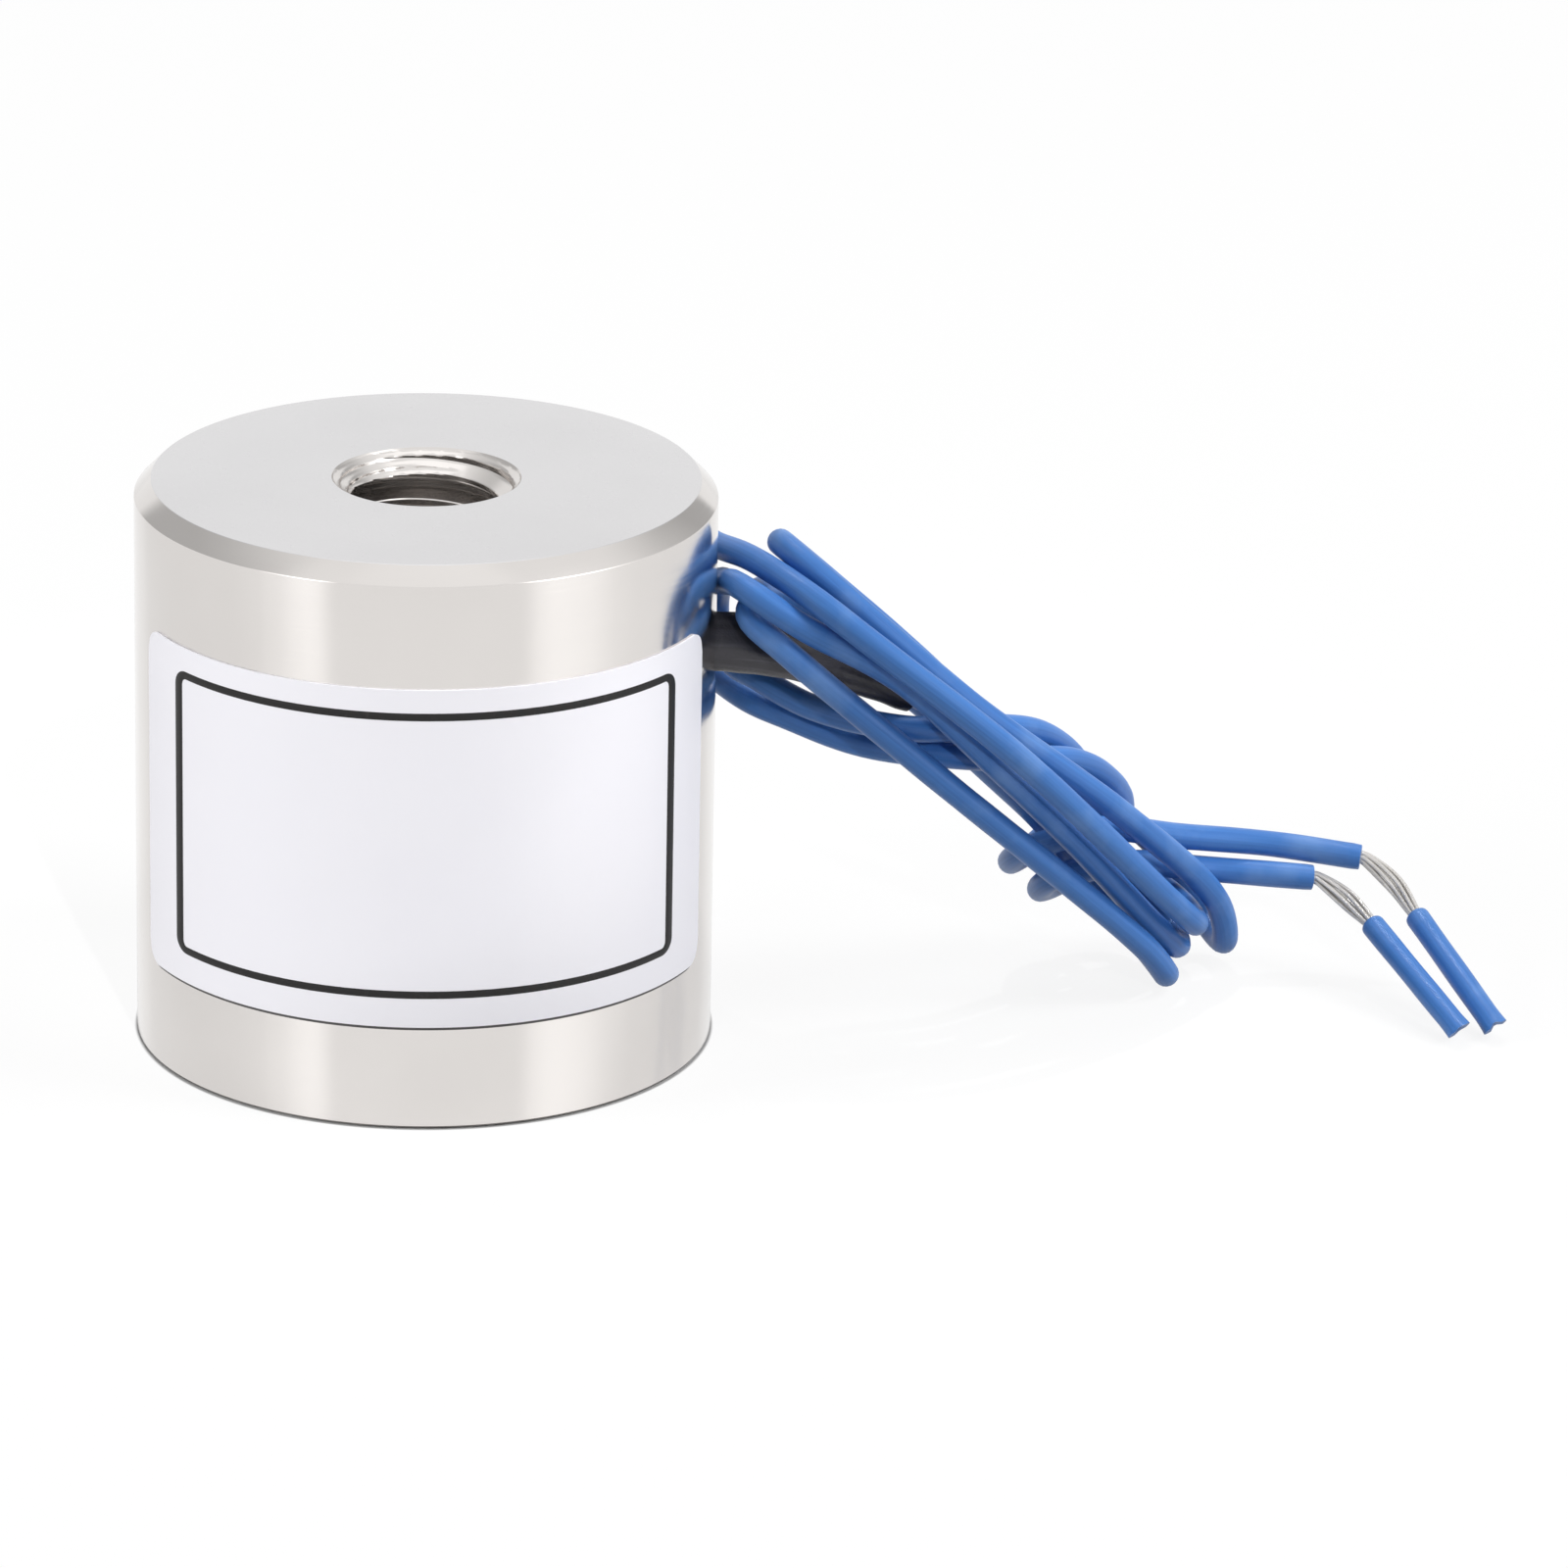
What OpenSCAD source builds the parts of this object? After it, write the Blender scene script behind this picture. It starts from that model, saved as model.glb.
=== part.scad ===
// Small round holding electromagnet with two flying leads, resting on its pole face.
// Origin at the centre of the pole face, +Z up the axis, label towards -Y, leads out at +X. Sizes in mm.

/* [Pot] */
// outside diameter of the pot
pot_d = 20; // [12:0.5:60]
// height from pole face to mounting face
pot_h = 20; // [12:0.5:60]
// thickness of the pot's side wall
pot_wall = 1.6; // [1:0.1:5]
// thickness of the back plate over the coil space
back_plate = 4; // [2:0.1:12]
// diameter of the centre pole, one piece with the pot
pole_d = 9; // [6:0.1:30]
// chamfer round the mounting face
top_chamfer = 0.6; // [0.2:0.05:2]
// broken edge round the pole face
edge_break = 0.12; // [0.05:0.01:0.5]
// diameter of the hole in the side wall for the leads
lead_hole_d = 2.6; // [2:0.1:6]
// height of that hole's middle above the bobbin's top
lead_rise = 1.4; // [1:0.05:5]

/* [Thread] */
// nominal diameter of the mounting thread
thread_d = 6; // [3:0.5:12]
// distance from one turn to the next
thread_pitch = 1; // [0.5:0.05:2]
// diameter of the drilled hole the thread is cut in
tap_drill_d = 5; // [2.5:0.1:10.5]
// full thread depth from the mounting face
thread_depth = 8; // [4:0.5:16]
// diameter of the countersunk mouth
mouth_d = 6.5; // [3.2:0.1:14]

/* [Coil] */
// thickness of the potting compound at the pole face
potting_t = 1.05; // [0.5:0.05:3]
// how far the potting stays below the ground pole face
potting_recess = 0.15; // [0.05:0.01:0.5]
// room left for the joints between the bobbin and the back plate
joint_room = 3.4; // [2:0.1:8]
// thickness of the bobbin's two flanges
flange_t = 0.6; // [0.4:0.05:1.5]
// thickness of the bobbin's hub
hub_t = 0.6; // [0.4:0.05:1.5]
// clearance of the hub round the pole
hub_gap = 0.1; // [0.05:0.01:0.4]
// clearance of the flanges in the pot
flange_gap = 0.2; // [0.05:0.01:0.6]
// how far the winding stays inside the flanges
winding_inset = 0.4; // [0.2:0.05:1.5]
// thickness of the tape over the winding
tape_t = 0.1; // [0.05:0.01:0.3]
// diameter of the enamelled winding wire
magnet_wire_d = 0.25; // [0.1:0.01:0.6]
// width of the two wire slots in the upper flange
wire_slot_w = 0.8; // [0.4:0.05:2]

/* [Splices] */
// diameter of the soldered joint between winding and lead
splice_d = 0.7; // [0.4:0.05:1.5]
// length of that joint
splice_len = 2.6; // [1.5:0.1:6]
// wall of the shrunk sleeve on the joint
splice_sleeve_wall = 0.2; // [0.1:0.02:0.5]
// clearance of the sleeve round the joint
splice_sleeve_gap = 0.02; // [0.01:0.01:0.1]
// how far in from the middle of the coil space a joint meets its lead
joint_inset = 1.45; // [0:0.05:4]
// how far from the middle plane a joint meets its lead
joint_spread = 2.9; // [1.5:0.05:8]
// radius of the winding wire's turn into the joint
wire_turn_r = 0.6; // [0.3:0.05:1.5]

/* [Leads] */
// outside diameter of the insulated leads
lead_d = 0.92; // [0.6:0.02:1.4]
// diameter of the bare stranded core
core_d = 0.4; // [0.2:0.02:0.8]
// diameter of the cut pieces of insulation left on the ends
slug_d = 0.86; // [0.5:0.02:1.4]
// wall of the black sleeve over both leads
sleeve_wall = 0.2; // [0.1:0.02:0.5]
// clearance of the sleeve round each lead
sleeve_gap = 0.03; // [0.01:0.01:0.1]
// depth of the epoxy bead that grips the sleeve behind the wall
bead_depth = 1; // [0.5:0.1:3]
// length of the leads from the bead to where they part for their joints
lead_fork = 0.8; // [0.7:0.05:2]
// width of that bead
bead_w = 4.4; // [3:0.1:8]

/* [Label] */
// height of the label's lower edge above the pole face
label_z = 3.6; // [1:0.1:30]
// height of the label
label_h = 12.2; // [3:0.1:40]
// width of the label round the pot, as an angle
label_angle = 139; // [30:1:300]
// thickness of the label
label_t = 0.08; // [0.03:0.01:0.3]
// radius of the label's corners
label_corner = 0.8; // [0.2:0.1:3]

/* [Hidden] */
$fn = 96;
eps = 0.01;
steel = [0.80, 0.79, 0.77];
pot_r = pot_d / 2;
bore_r = pot_r - pot_wall;
pole_r = pole_d / 2;
plate_z = pot_h - back_plate;
potting_z = potting_recess + potting_t;
bobbin_top = plate_z - joint_room;
lead_hole_z = bobbin_top + lead_rise;
hub_in = pole_r + hub_gap;
hub_out = hub_in + hub_t;
flange_r = bore_r - flange_gap;
winding_r = flange_r - winding_inset;
winding_bottom = potting_z + flange_t;
winding_top = bobbin_top - flange_t;
drill_r = tap_drill_d / 2;
mouth_r = mouth_d / 2;
mouth_depth = mouth_r - drill_r;
thread_top = pot_h - mouth_depth;
thread_floor = pot_h - thread_depth;
// flat at the bottom of each thread groove, and the groove's width at the drilled wall
root_flat = thread_pitch / 8;
groove_depth = (thread_d - tap_drill_d) / 2;
groove_w = root_flat + 2 * groove_depth * tan(30);
turns = floor((thread_depth - mouth_depth) / thread_pitch);

// where the two leads lie in the black sleeve, either side of its centre
lead_shift = [0, 0.42, 0.22];
fork_x = bore_r - bead_depth - lead_fork;
joint_x = (pole_r + bore_r) / 2 - joint_inset;
sleeve_path = [[fork_x, 0, lead_hole_z], [pot_r + 1.2, 0, lead_hole_z], [pot_r + 7.2, 1, lead_hole_z - 1.95]];

// first lead: splice, sleeve, outer hank loop, top strand, round behind the pot, under the sleeve,
// turn round the hank, tail
lead_a_route = concat(
    [[joint_x, joint_spread, lead_hole_z + lead_shift.z]],
    [for (p = sleeve_path) p + lead_shift],
    [[19.6, 2.3, 10.2], [22.9, 3.7, 7.1], [25.3, 5.4, 5.2], [26.8, 7.1, 2.9], [27.9, 6.5, 1.3],
    [28.4, 4.9, 1.2], [28, 3.9, 3.1], [24.4, 1.5, 7.2], [18.8, -0.5, 12], [13.1, -0.1, 16.9],
    [12.2, 1.2, 17.3], [13.1, 2.7, 16.1], [17.6, 2.9, 12], [22.3, 4.5, 6.3], [25.3, 5.1, 3.8],
    [26.7, 4.7, 2.8], [27.2, 3, 2.6], [26.2, 1.6, 3.9], [20.4, -1.7, 10.5], [15.4, -2.3, 14.7],
    [12.9, -1.4, 16.4], [11.2, 0.9, 16.8], [10.1, 3.2, 16.5], [9.4, 5, 16.3], [8.7, 6.8, 15.1],
    [8.6, 7.2, 13.5], [9.1, 6.3, 12.2], [9.9, 4.5, 11.5], [11.2, 2.5, 11.1], [12.5, 1.6, 10.8],
    [15.2, 0.9, 10], [18.4, 0.3, 9.8], [21, 1.2, 9.4], [22.6, 2.7, 8.8], [23.9, 4.4, 7.6],
    [24.7, 6.2, 5.9], [24.4, 7.6, 4], [22.8, 6.9, 2.8], [21.8, 5, 3.1], [22.3, 2.9, 4.4],
    [24.7, 3.1, 4.8], [27.5, 5, 3.9], [31.5, 5.2, 3.5]]);

// second lead: splice, sleeve, lower strand, over the sleeve, middle strand, round behind the pot,
// under the sleeve, turn round the hank, tail
lead_b_route = concat(
    [[joint_x, -joint_spread, lead_hole_z - lead_shift.z]],
    [for (p = sleeve_path) p - lead_shift],
    [[18.9, 1.8, 9.5], [21.9, 3.6, 6], [24.6, 5.1, 2.1], [25.7, 4.6, 0.9], [26.2, 2.9, 0.7],
    [25.3, 1.7, 2.2], [17.7, -1.4, 9.6], [12.3, -1.6, 14.3], [11.1, -0.7, 15.2], [11.3, 0.4, 15.5],
    [11.6, 1.7, 15.4], [12.2, 2.9, 14.8], [13.8, 3.4, 13.5], [17.4, 3.6, 10.5], [20.8, 5, 7],
    [25.3, 6.3, 2.7], [26.4, 5.8, 1.7], [26.7, 4.2, 1.3], [25.7, 2.7, 2.6], [22.6, 0.6, 6.6],
    [19.4, -0.9, 10.2], [16.3, -1.4, 13.2], [12.9, -1.7, 15.2], [11.2, -1.5, 16.3], [10.6, -0.3, 16.3],
    [10.4, 1.3, 15.8], [10.2, 2.8, 15.3], [10.1, 3.7, 14.2], [10.2, 3.5, 13.1], [10.7, 2.5, 12.4],
    [11.5, 1.6, 12.2], [13.4, 0.5, 11.5], [16.6, -0.5, 11.1], [19.2, 0.5, 10.8], [20.9, 2, 10.2],
    [22, 3.4, 9.3], [22.9, 4.8, 8], [23.1, 6.3, 6.4], [22.4, 7.1, 4.7], [21.3, 6.2, 4],
    [20.7, 4.6, 4.3], [21.3, 2.5, 5.6], [23.6, 2.5, 6.3], [26.6, 4.8, 5.2], [30.1, 5.9, 4.5],
    [33.2, 5.4, 4.2]]);

// the cut pieces of insulation, from the strands to the tip on the floor
slug_a_route = [[33.5, 3.4, 2.4], [36.1, -1.9, 0.5]];
slug_b_route = [[35.1, 3.7, 2.6], [37.4, -1.6, 0.5]];

function unit(v) = v / norm(v);
function last(p) = p[len(p) - 1];
function end_dir(p) = unit(last(p) - p[len(p) - 2]);
function start_dir(p) = unit(p[1] - p[0]);
// the sleeve starts and stops short of the points where the leads part
sleeve_route = [sleeve_path[0] + 0.6 * start_dir(sleeve_path), sleeve_path[1],
    last(sleeve_path) - 0.4 * end_dir(sleeve_path)];
// strands leave the lead square to its cut face and enter the cut piece square to its face
function strand_route(lead, slug, middle) =
    concat([last(lead), last(lead) + 0.35 * end_dir(lead)], middle,
        [slug[0] - 0.35 * start_dir(slug), slug[0]]);

// tangent of a route at point i
function tangent(p, i) =
    i == 0 ? unit(p[1] - p[0]) :
    i == len(p) - 1 ? unit(p[i] - p[i - 1]) :
    unit(unit(p[i] - p[i - 1]) + unit(p[i + 1] - p[i]));
// side direction of each ring, carried along the route without twist
function square_to(v, t) = unit(v - (v * t) * t);
function sides(p, i = 0, prev = [0, 1, 0]) =
    i == len(p) ? [] :
    let (s = square_to(prev, tangent(p, i))) concat([s], sides(p, i + 1, s));
// round section of a cord, and the section round two cords lying side by side
function ring(r, n = 8) = [for (k = [0:n - 1]) r * [cos(360 * k / n), sin(360 * k / n)]];
function lobes(r, n = 6) =
    let (c = [lead_shift.y, lead_shift.z], a = atan2(c.y, c.x))
    [for (k = [0:2 * n - 1])
        let (f = k < n ? 1 : -1, w = a - 90 + 180 * (k < n ? k : k - n) / (n - 1) + (k < n ? 0 : 180))
        f * c + r * [cos(w), sin(w)]];

// sweeps a flat section along a route
module sweep(section, route) {
    n = len(section);
    m = len(route);
    s = sides(route);
    points = [for (i = [0:m - 1])
        let (t = tangent(route, i), u = s[i], v = cross(t, u))
        for (q = section) route[i] + q.x * u + q.y * v];
    walls = [for (i = [0:m - 2], k = [0:n - 1])
        let (a = i * n + k, b = i * n + (k + 1) % n)
        each [[a, a + n, b], [b, a + n, b + n]]];
    caps = [[for (k = [0:n - 1]) k], [for (k = [n - 1:-1:0]) (m - 1) * n + k]];
    polyhedron(points = points, faces = concat(walls, caps));
}

// ring of rectangular section about the axis
module collar(r_in, r_out, z0, z1) {
    rotate_extrude()
        translate([r_in, z0])
            square([r_out - r_in, z1 - z0]);
}

// blind threaded hole with drill point and countersunk mouth, as the tool that cuts it
module thread_cutter() {
    grooves = [for (i = [0:turns - 1])
        let (z = thread_floor + thread_pitch * (i + 0.5))
        each [[drill_r, z - groove_w / 2], [drill_r + groove_depth, z - root_flat / 2],
              [drill_r + groove_depth, z + root_flat / 2], [drill_r, z + groove_w / 2]]];
    rotate_extrude()
        polygon(concat(
            [[0, thread_floor - drill_r * tan(31)], [drill_r, thread_floor]],
            grooves,
            [[drill_r, thread_top], [mouth_r + eps, pot_h + eps], [0, pot_h + eps]]));
}

// pot, back plate and pole turned from one bar
module pot_body() {
    color(steel)
    difference() {
        rotate_extrude()
            polygon([[0, 0], [pole_r - edge_break, 0], [pole_r, edge_break], [pole_r, plate_z], [bore_r, plate_z],
                [bore_r, edge_break], [bore_r + edge_break, 0], [pot_r - edge_break, 0], [pot_r, edge_break],
                [pot_r, pot_h - top_chamfer], [pot_r - top_chamfer, pot_h], [0, pot_h]]);
        thread_cutter();
        translate([pole_r, 0, lead_hole_z])
            rotate([0, 90, 0])
                cylinder(d = lead_hole_d, h = pot_r);
    }
}

// direction of each splice, along the end of its lead
function splice_dir(route) = -start_dir(route);
function splice_turn(route) = atan2(splice_dir(route).y, splice_dir(route).x);
// where the winding wire comes up through the flange
function wire_foot(route) = route[0] + (splice_len + wire_turn_r) * splice_dir(route);

// slot from the flange's rim in past the winding wire
module wire_slot(route) {
    foot = wire_foot(route);
    turn = atan2(foot.y, foot.x);
    reach = norm([foot.x, foot.y]);
    rotate([0, 0, turn])
        translate([reach - wire_slot_w / 2, -wire_slot_w / 2, winding_top - eps])
            cube([flange_r, wire_slot_w, flange_t + 2 * eps]);
}

// moulded bobbin with two flanges, open on the pole
module bobbin() {
    color([0.93, 0.91, 0.85])
    difference() {
        rotate_extrude()
            polygon([[hub_in, potting_z], [flange_r, potting_z], [flange_r, winding_bottom],
                [hub_out, winding_bottom], [hub_out, winding_top], [flange_r, winding_top],
                [flange_r, bobbin_top], [hub_in, bobbin_top]]);
        wire_slot(lead_a_route);
        wire_slot(lead_b_route);
    }
}

module coil_winding() {
    color([0.72, 0.40, 0.20])
        collar(hub_out, winding_r, winding_bottom, winding_top);
}

module coil_tape() {
    color([0.90, 0.75, 0.25])
        collar(winding_r, winding_r + tape_t, winding_bottom, winding_top);
}

// winding wire up through the slot and round into the end of its splice
module riser(route) {
    foot = wire_foot(route);
    d = splice_dir(route);
    face = route[0] + splice_len * d;
    bend = wire_turn_r * (1 - sqrt(0.5));
    color([0.72, 0.40, 0.20])
        sweep(ring(magnet_wire_d / 2), [
            [foot.x, foot.y, winding_top],
            foot - [0, 0, wire_turn_r],
            foot - bend * d - [0, 0, bend],
            face + magnet_wire_d / 2 * d,
            face]);
}

module coil_start_wire() {
    riser(lead_a_route);
}

module coil_finish_wire() {
    riser(lead_b_route);
}

// soldered joint on the end of a lead
module splice(route) {
    color([0.78, 0.78, 0.80])
        translate(route[0])
            rotate([0, 90, splice_turn(route)])
                cylinder(d = splice_d, h = splice_len);
}

module splice_a() {
    splice(lead_a_route);
}

module splice_b() {
    splice(lead_b_route);
}

// shrunk sleeve on the joint
module splice_sleeve(route) {
    inner = splice_d / 2 + splice_sleeve_gap;
    color([0.15, 0.15, 0.15])
        translate(route[0])
            rotate([0, 90, splice_turn(route)])
                rotate_extrude()
                    translate([inner, 0])
                        square([splice_sleeve_wall, splice_len]);
}

module splice_sleeve_a() {
    splice_sleeve(lead_a_route);
}

module splice_sleeve_b() {
    splice_sleeve(lead_b_route);
}

// potting that closes the coil space at the pole face
module potting_ring() {
    color([0.12, 0.12, 0.13])
        collar(pole_r, bore_r, potting_recess, potting_z);
}

sleeve_in = lead_d / 2 + sleeve_gap;
sleeve_out = sleeve_in + sleeve_wall;

// epoxy bead that grips the sleeve behind the wall, from the flange up to the back plate
module lead_bead() {
    color([0.20, 0.20, 0.22])
    difference() {
        intersection() {
            collar(bore_r - bead_depth, bore_r, bobbin_top, plate_z);
            translate([0, -bead_w / 2, 0])
                cube([pot_r, bead_w, pot_h]);
        }
        translate([0, 0, lead_hole_z])
            rotate([90, 0, 90])
                linear_extrude(height = pot_r)
                    polygon(lobes(sleeve_out + eps));
    }
}

// black sleeve shrunk over both leads, out through the wall
module lead_sleeve() {
    color([0.16, 0.15, 0.15])
    difference() {
        sweep(lobes(sleeve_out), sleeve_route);
        sweep(lobes(sleeve_in), concat(
            [sleeve_route[0] - eps * start_dir(sleeve_route)],
            [sleeve_route[1]],
            [last(sleeve_route) + eps * end_dir(sleeve_route)]));
    }
}

module lead_a() {
    color([0.25, 0.46, 0.80])
        sweep(ring(lead_d / 2), lead_a_route);
}

module lead_b() {
    color([0.25, 0.46, 0.80])
        sweep(ring(lead_d / 2), lead_b_route);
}

module bare_strands_a() {
    color([0.85, 0.85, 0.84])
        sweep(ring(core_d / 2), strand_route(lead_a_route, slug_a_route, [[32.8, 4.7, 3.15]]));
}

module bare_strands_b() {
    color([0.85, 0.85, 0.84])
        sweep(ring(core_d / 2), strand_route(lead_b_route, slug_b_route, [[34.5, 4.9, 3.7]]));
}

// cut insulation pulled part of the way off, pinched by the cutter at its tip
module insulation_slug_a() {
    color([0.25, 0.46, 0.80])
        sweep(ring(slug_d / 2), slug_a_route);
}

module insulation_slug_b() {
    color([0.25, 0.46, 0.80])
        sweep(ring(slug_d / 2), slug_b_route);
}

// what is cut off the label at one corner: a radial square less a radial cylinder that crosses the edges
module label_corner_cut(side, up) {
    turn = label_corner / pot_r * 180 / PI;
    reach = label_corner + label_t;
    z = up > 0 ? label_z + label_h - label_corner : label_z + label_corner;
    rotate([0, 0, -90 + side * (label_angle / 2 - turn)])
        translate([pot_r - reach, 0, z])
            difference() {
                translate([0, side > 0 ? 0 : -2 * label_corner, up > 0 ? 0 : -2 * label_corner])
                    cube([2 * reach, 2 * label_corner, 2 * label_corner]);
                translate([-eps, 0, 0])
                    rotate([0, 90, 0])
                        cylinder(r = 1.03 * label_corner, h = 2 * (reach + eps));
            }
}

// sticker with rounded corners round the front of the pot
module label() {
    color([0.93, 0.93, 0.95])
    difference() {
        rotate([0, 0, -90 - label_angle / 2])
            rotate_extrude(angle = label_angle)
                translate([pot_r, label_z])
                    square([label_t, label_h]);
        for (side = [-1, 1], up = [-1, 1])
            label_corner_cut(side, up);
    }
}

pot_body();
bobbin();
coil_winding();
coil_tape();
coil_start_wire();
coil_finish_wire();
splice_a();
splice_b();
splice_sleeve_a();
splice_sleeve_b();
potting_ring();
lead_bead();
lead_sleeve();
lead_a();
lead_b();
bare_strands_a();
bare_strands_b();
insulation_slug_a();
insulation_slug_b();
label();
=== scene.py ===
import math
import random
import bmesh
import bpy
import numpy as np
from mathutils import Matrix, Vector


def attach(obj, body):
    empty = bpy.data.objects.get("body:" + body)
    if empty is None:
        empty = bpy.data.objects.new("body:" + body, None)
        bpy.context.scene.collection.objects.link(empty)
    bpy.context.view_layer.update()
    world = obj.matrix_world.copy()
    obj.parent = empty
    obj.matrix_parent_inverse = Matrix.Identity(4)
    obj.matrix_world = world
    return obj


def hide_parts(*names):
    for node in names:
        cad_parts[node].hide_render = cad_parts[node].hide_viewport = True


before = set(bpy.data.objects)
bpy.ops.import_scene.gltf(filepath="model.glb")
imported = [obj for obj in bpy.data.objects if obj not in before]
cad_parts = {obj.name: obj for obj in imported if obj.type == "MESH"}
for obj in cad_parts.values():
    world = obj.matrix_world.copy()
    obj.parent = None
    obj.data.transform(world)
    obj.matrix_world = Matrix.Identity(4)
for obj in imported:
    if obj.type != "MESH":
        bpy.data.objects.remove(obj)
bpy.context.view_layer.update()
random.seed(20)
mm = 0.001
scene = bpy.context.scene
scene.view_settings.view_transform = "Standard"
print("frame loaded:", len(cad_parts), "nodes")


def toLinear(hexColour):
    # sRGB hex to the linear colour that a socket takes
    parts = [int(hexColour[i:i + 2], 16) / 255 for i in (0, 2, 4)]
    return [p / 12.92 if p <= 0.04045 else ((p + 0.055) / 1.055) ** 2.4 for p in parts] + [1.0]


def perMm(size):
    # texture scale for a feature of that size in mm, on coordinates in metres
    return 1000 / size


def addNode(tree, kind, inputs=None, **settings):
    # one node with its settings; an input takes a value, or a node or socket to link
    node = tree.nodes.new(kind)
    for name, value in settings.items():
        setattr(node, name, value)
    for name, value in (inputs or {}).items():
        if isinstance(value, bpy.types.Node):
            tree.links.new(value.outputs[0], node.inputs[name])
        elif isinstance(value, bpy.types.NodeSocket):
            tree.links.new(value, node.inputs[name])
        else:
            node.inputs[name].default_value = value
    return node


def newMaterial(name):
    material = bpy.data.materials.new(name)
    material.use_nodes = True
    material.node_tree.nodes.clear()
    return material, material.node_tree


def dress(piece, *materials):
    # new materials in the same slots, each face keeping its own
    tones = [min(f.material_index, len(materials) - 1) for f in piece.data.polygons]
    piece.data.materials.clear()  # this also puts every face back to the first material
    for material in materials:
        piece.data.materials.append(material)
    piece.data.polygons.foreach_set("material_index", tones)


def newPiece(name, points, faces, materials, uvs=None, tones=None):
    # a piece from points in mm, riding on the one body
    mesh = bpy.data.meshes.new(name)
    mesh.from_pydata([tuple(p * mm for p in q) for q in points], [], faces)
    if uvs is not None:
        layer = mesh.uv_layers.new(name="UVMap")
        layer.data.foreach_set("uv", [c for uv in uvs for c in uv])
    piece = bpy.data.objects.new(name, mesh)
    scene.collection.objects.link(piece)
    dress(piece, *materials)
    if tones is not None:
        mesh.polygons.foreach_set("material_index", tones)
    mesh.polygons.foreach_set("use_smooth", [True] * len(mesh.polygons))
    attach(piece, "root")
    return piece


def crease(piece, degrees):
    # edges sharper than this keep a crisp break in the shading
    shape = bmesh.new()
    shape.from_mesh(piece.data)
    for edge in shape.edges:
        if len(edge.link_faces) == 2 and edge.calc_face_angle(0) > math.radians(degrees):
            edge.smooth = False
    shape.to_mesh(piece.data)
    shape.free()


# camera, fitted to the top ellipse, the bottom edge and the sides of the body
cameraSetup = {
    "place": (0, -292.31, 116.03),  # mm
    "yaw": 2.435,
    "pitch": 20.119,
    "roll": 1.09,
    "focalPixels": 9168.1,  # for a picture 1600 wide
    "pictureWidth": 1600,
    "sensor": 36,
}


def placeCamera(setup):
    yaw, pitch, roll = (math.radians(setup[k]) for k in ("yaw", "pitch", "roll"))
    ahead = Vector((math.sin(yaw) * math.cos(pitch), math.cos(yaw) * math.cos(pitch), -math.sin(pitch)))
    level = Vector((math.cos(yaw), -math.sin(yaw), 0))
    over = level.cross(ahead)
    right = level * math.cos(roll) + over * math.sin(roll)
    up = over * math.cos(roll) - level * math.sin(roll)
    data = bpy.data.cameras.new("photo_camera")
    data.sensor_width = setup["sensor"]
    data.sensor_fit = "HORIZONTAL"
    data.lens = setup["focalPixels"] / setup["pictureWidth"] * setup["sensor"]
    data.clip_start = 0.01
    camera = bpy.data.objects.new("photo_camera", data)
    turn = Matrix((right, up, -ahead)).transposed().to_4x4()
    camera.matrix_world = Matrix.Translation(Vector(setup["place"]) * mm) @ turn
    scene.collection.objects.link(camera)
    scene.camera = camera


placeCamera(cameraSetup)
print("camera placed")


def smoothRoute(points, step, perSpan=16):
    # centripetal curve through the points, then even steps along it
    p = np.asarray(points, float)
    q = np.vstack([2 * p[0] - p[1], p, 2 * p[-1] - p[-2]])
    line = []
    for i in range(1, len(q) - 2):
        p0, p1, p2, p3 = q[i - 1:i + 3]
        t1 = np.linalg.norm(p1 - p0) ** 0.5
        t2 = t1 + np.linalg.norm(p2 - p1) ** 0.5
        t3 = t2 + np.linalg.norm(p3 - p2) ** 0.5
        t = np.linspace(t1, t2, perSpan, endpoint=False)[:, None]
        a1 = (t1 - t) / t1 * p0 + t / t1 * p1
        a2 = (t2 - t) / (t2 - t1) * p1 + (t - t1) / (t2 - t1) * p2
        a3 = (t3 - t) / (t3 - t2) * p2 + (t - t2) / (t3 - t2) * p3
        b1 = (t2 - t) / t2 * a1 + t / t2 * a2
        b2 = (t3 - t) / (t3 - t1) * a2 + (t - t1) / (t3 - t1) * a3
        line.append((t2 - t) / (t2 - t1) * b1 + (t - t1) / (t2 - t1) * b2)
    line = np.vstack(line + [p[-1:]])
    along = np.r_[0, np.cumsum(np.linalg.norm(np.diff(line, axis=0), axis=1))]
    marks = np.linspace(0, along[-1], max(3, int(round(along[-1] / step)) + 1))
    return np.stack([np.interp(marks, along, line[:, k]) for k in range(3)], 1), marks


def carryFrames(path, firstSide=(0, 1, 0)):
    # tangent, side and upward direction at each point, carried along without twist
    tangents = np.gradient(path, axis=0)
    tangents /= np.linalg.norm(tangents, axis=1)[:, None]
    side = np.asarray(firstSide, float)
    sides = []
    for t in tangents:
        side = side - side.dot(t) * t
        side = side / np.linalg.norm(side)
        sides.append(side)
    sides = np.array(sides)
    return tangents, sides, np.cross(tangents, sides)


def roundSection(radius, count):
    turn = np.arange(count) / count * 2 * math.pi
    return np.stack([radius * np.cos(turn), radius * np.sin(turn)], 1)


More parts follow.
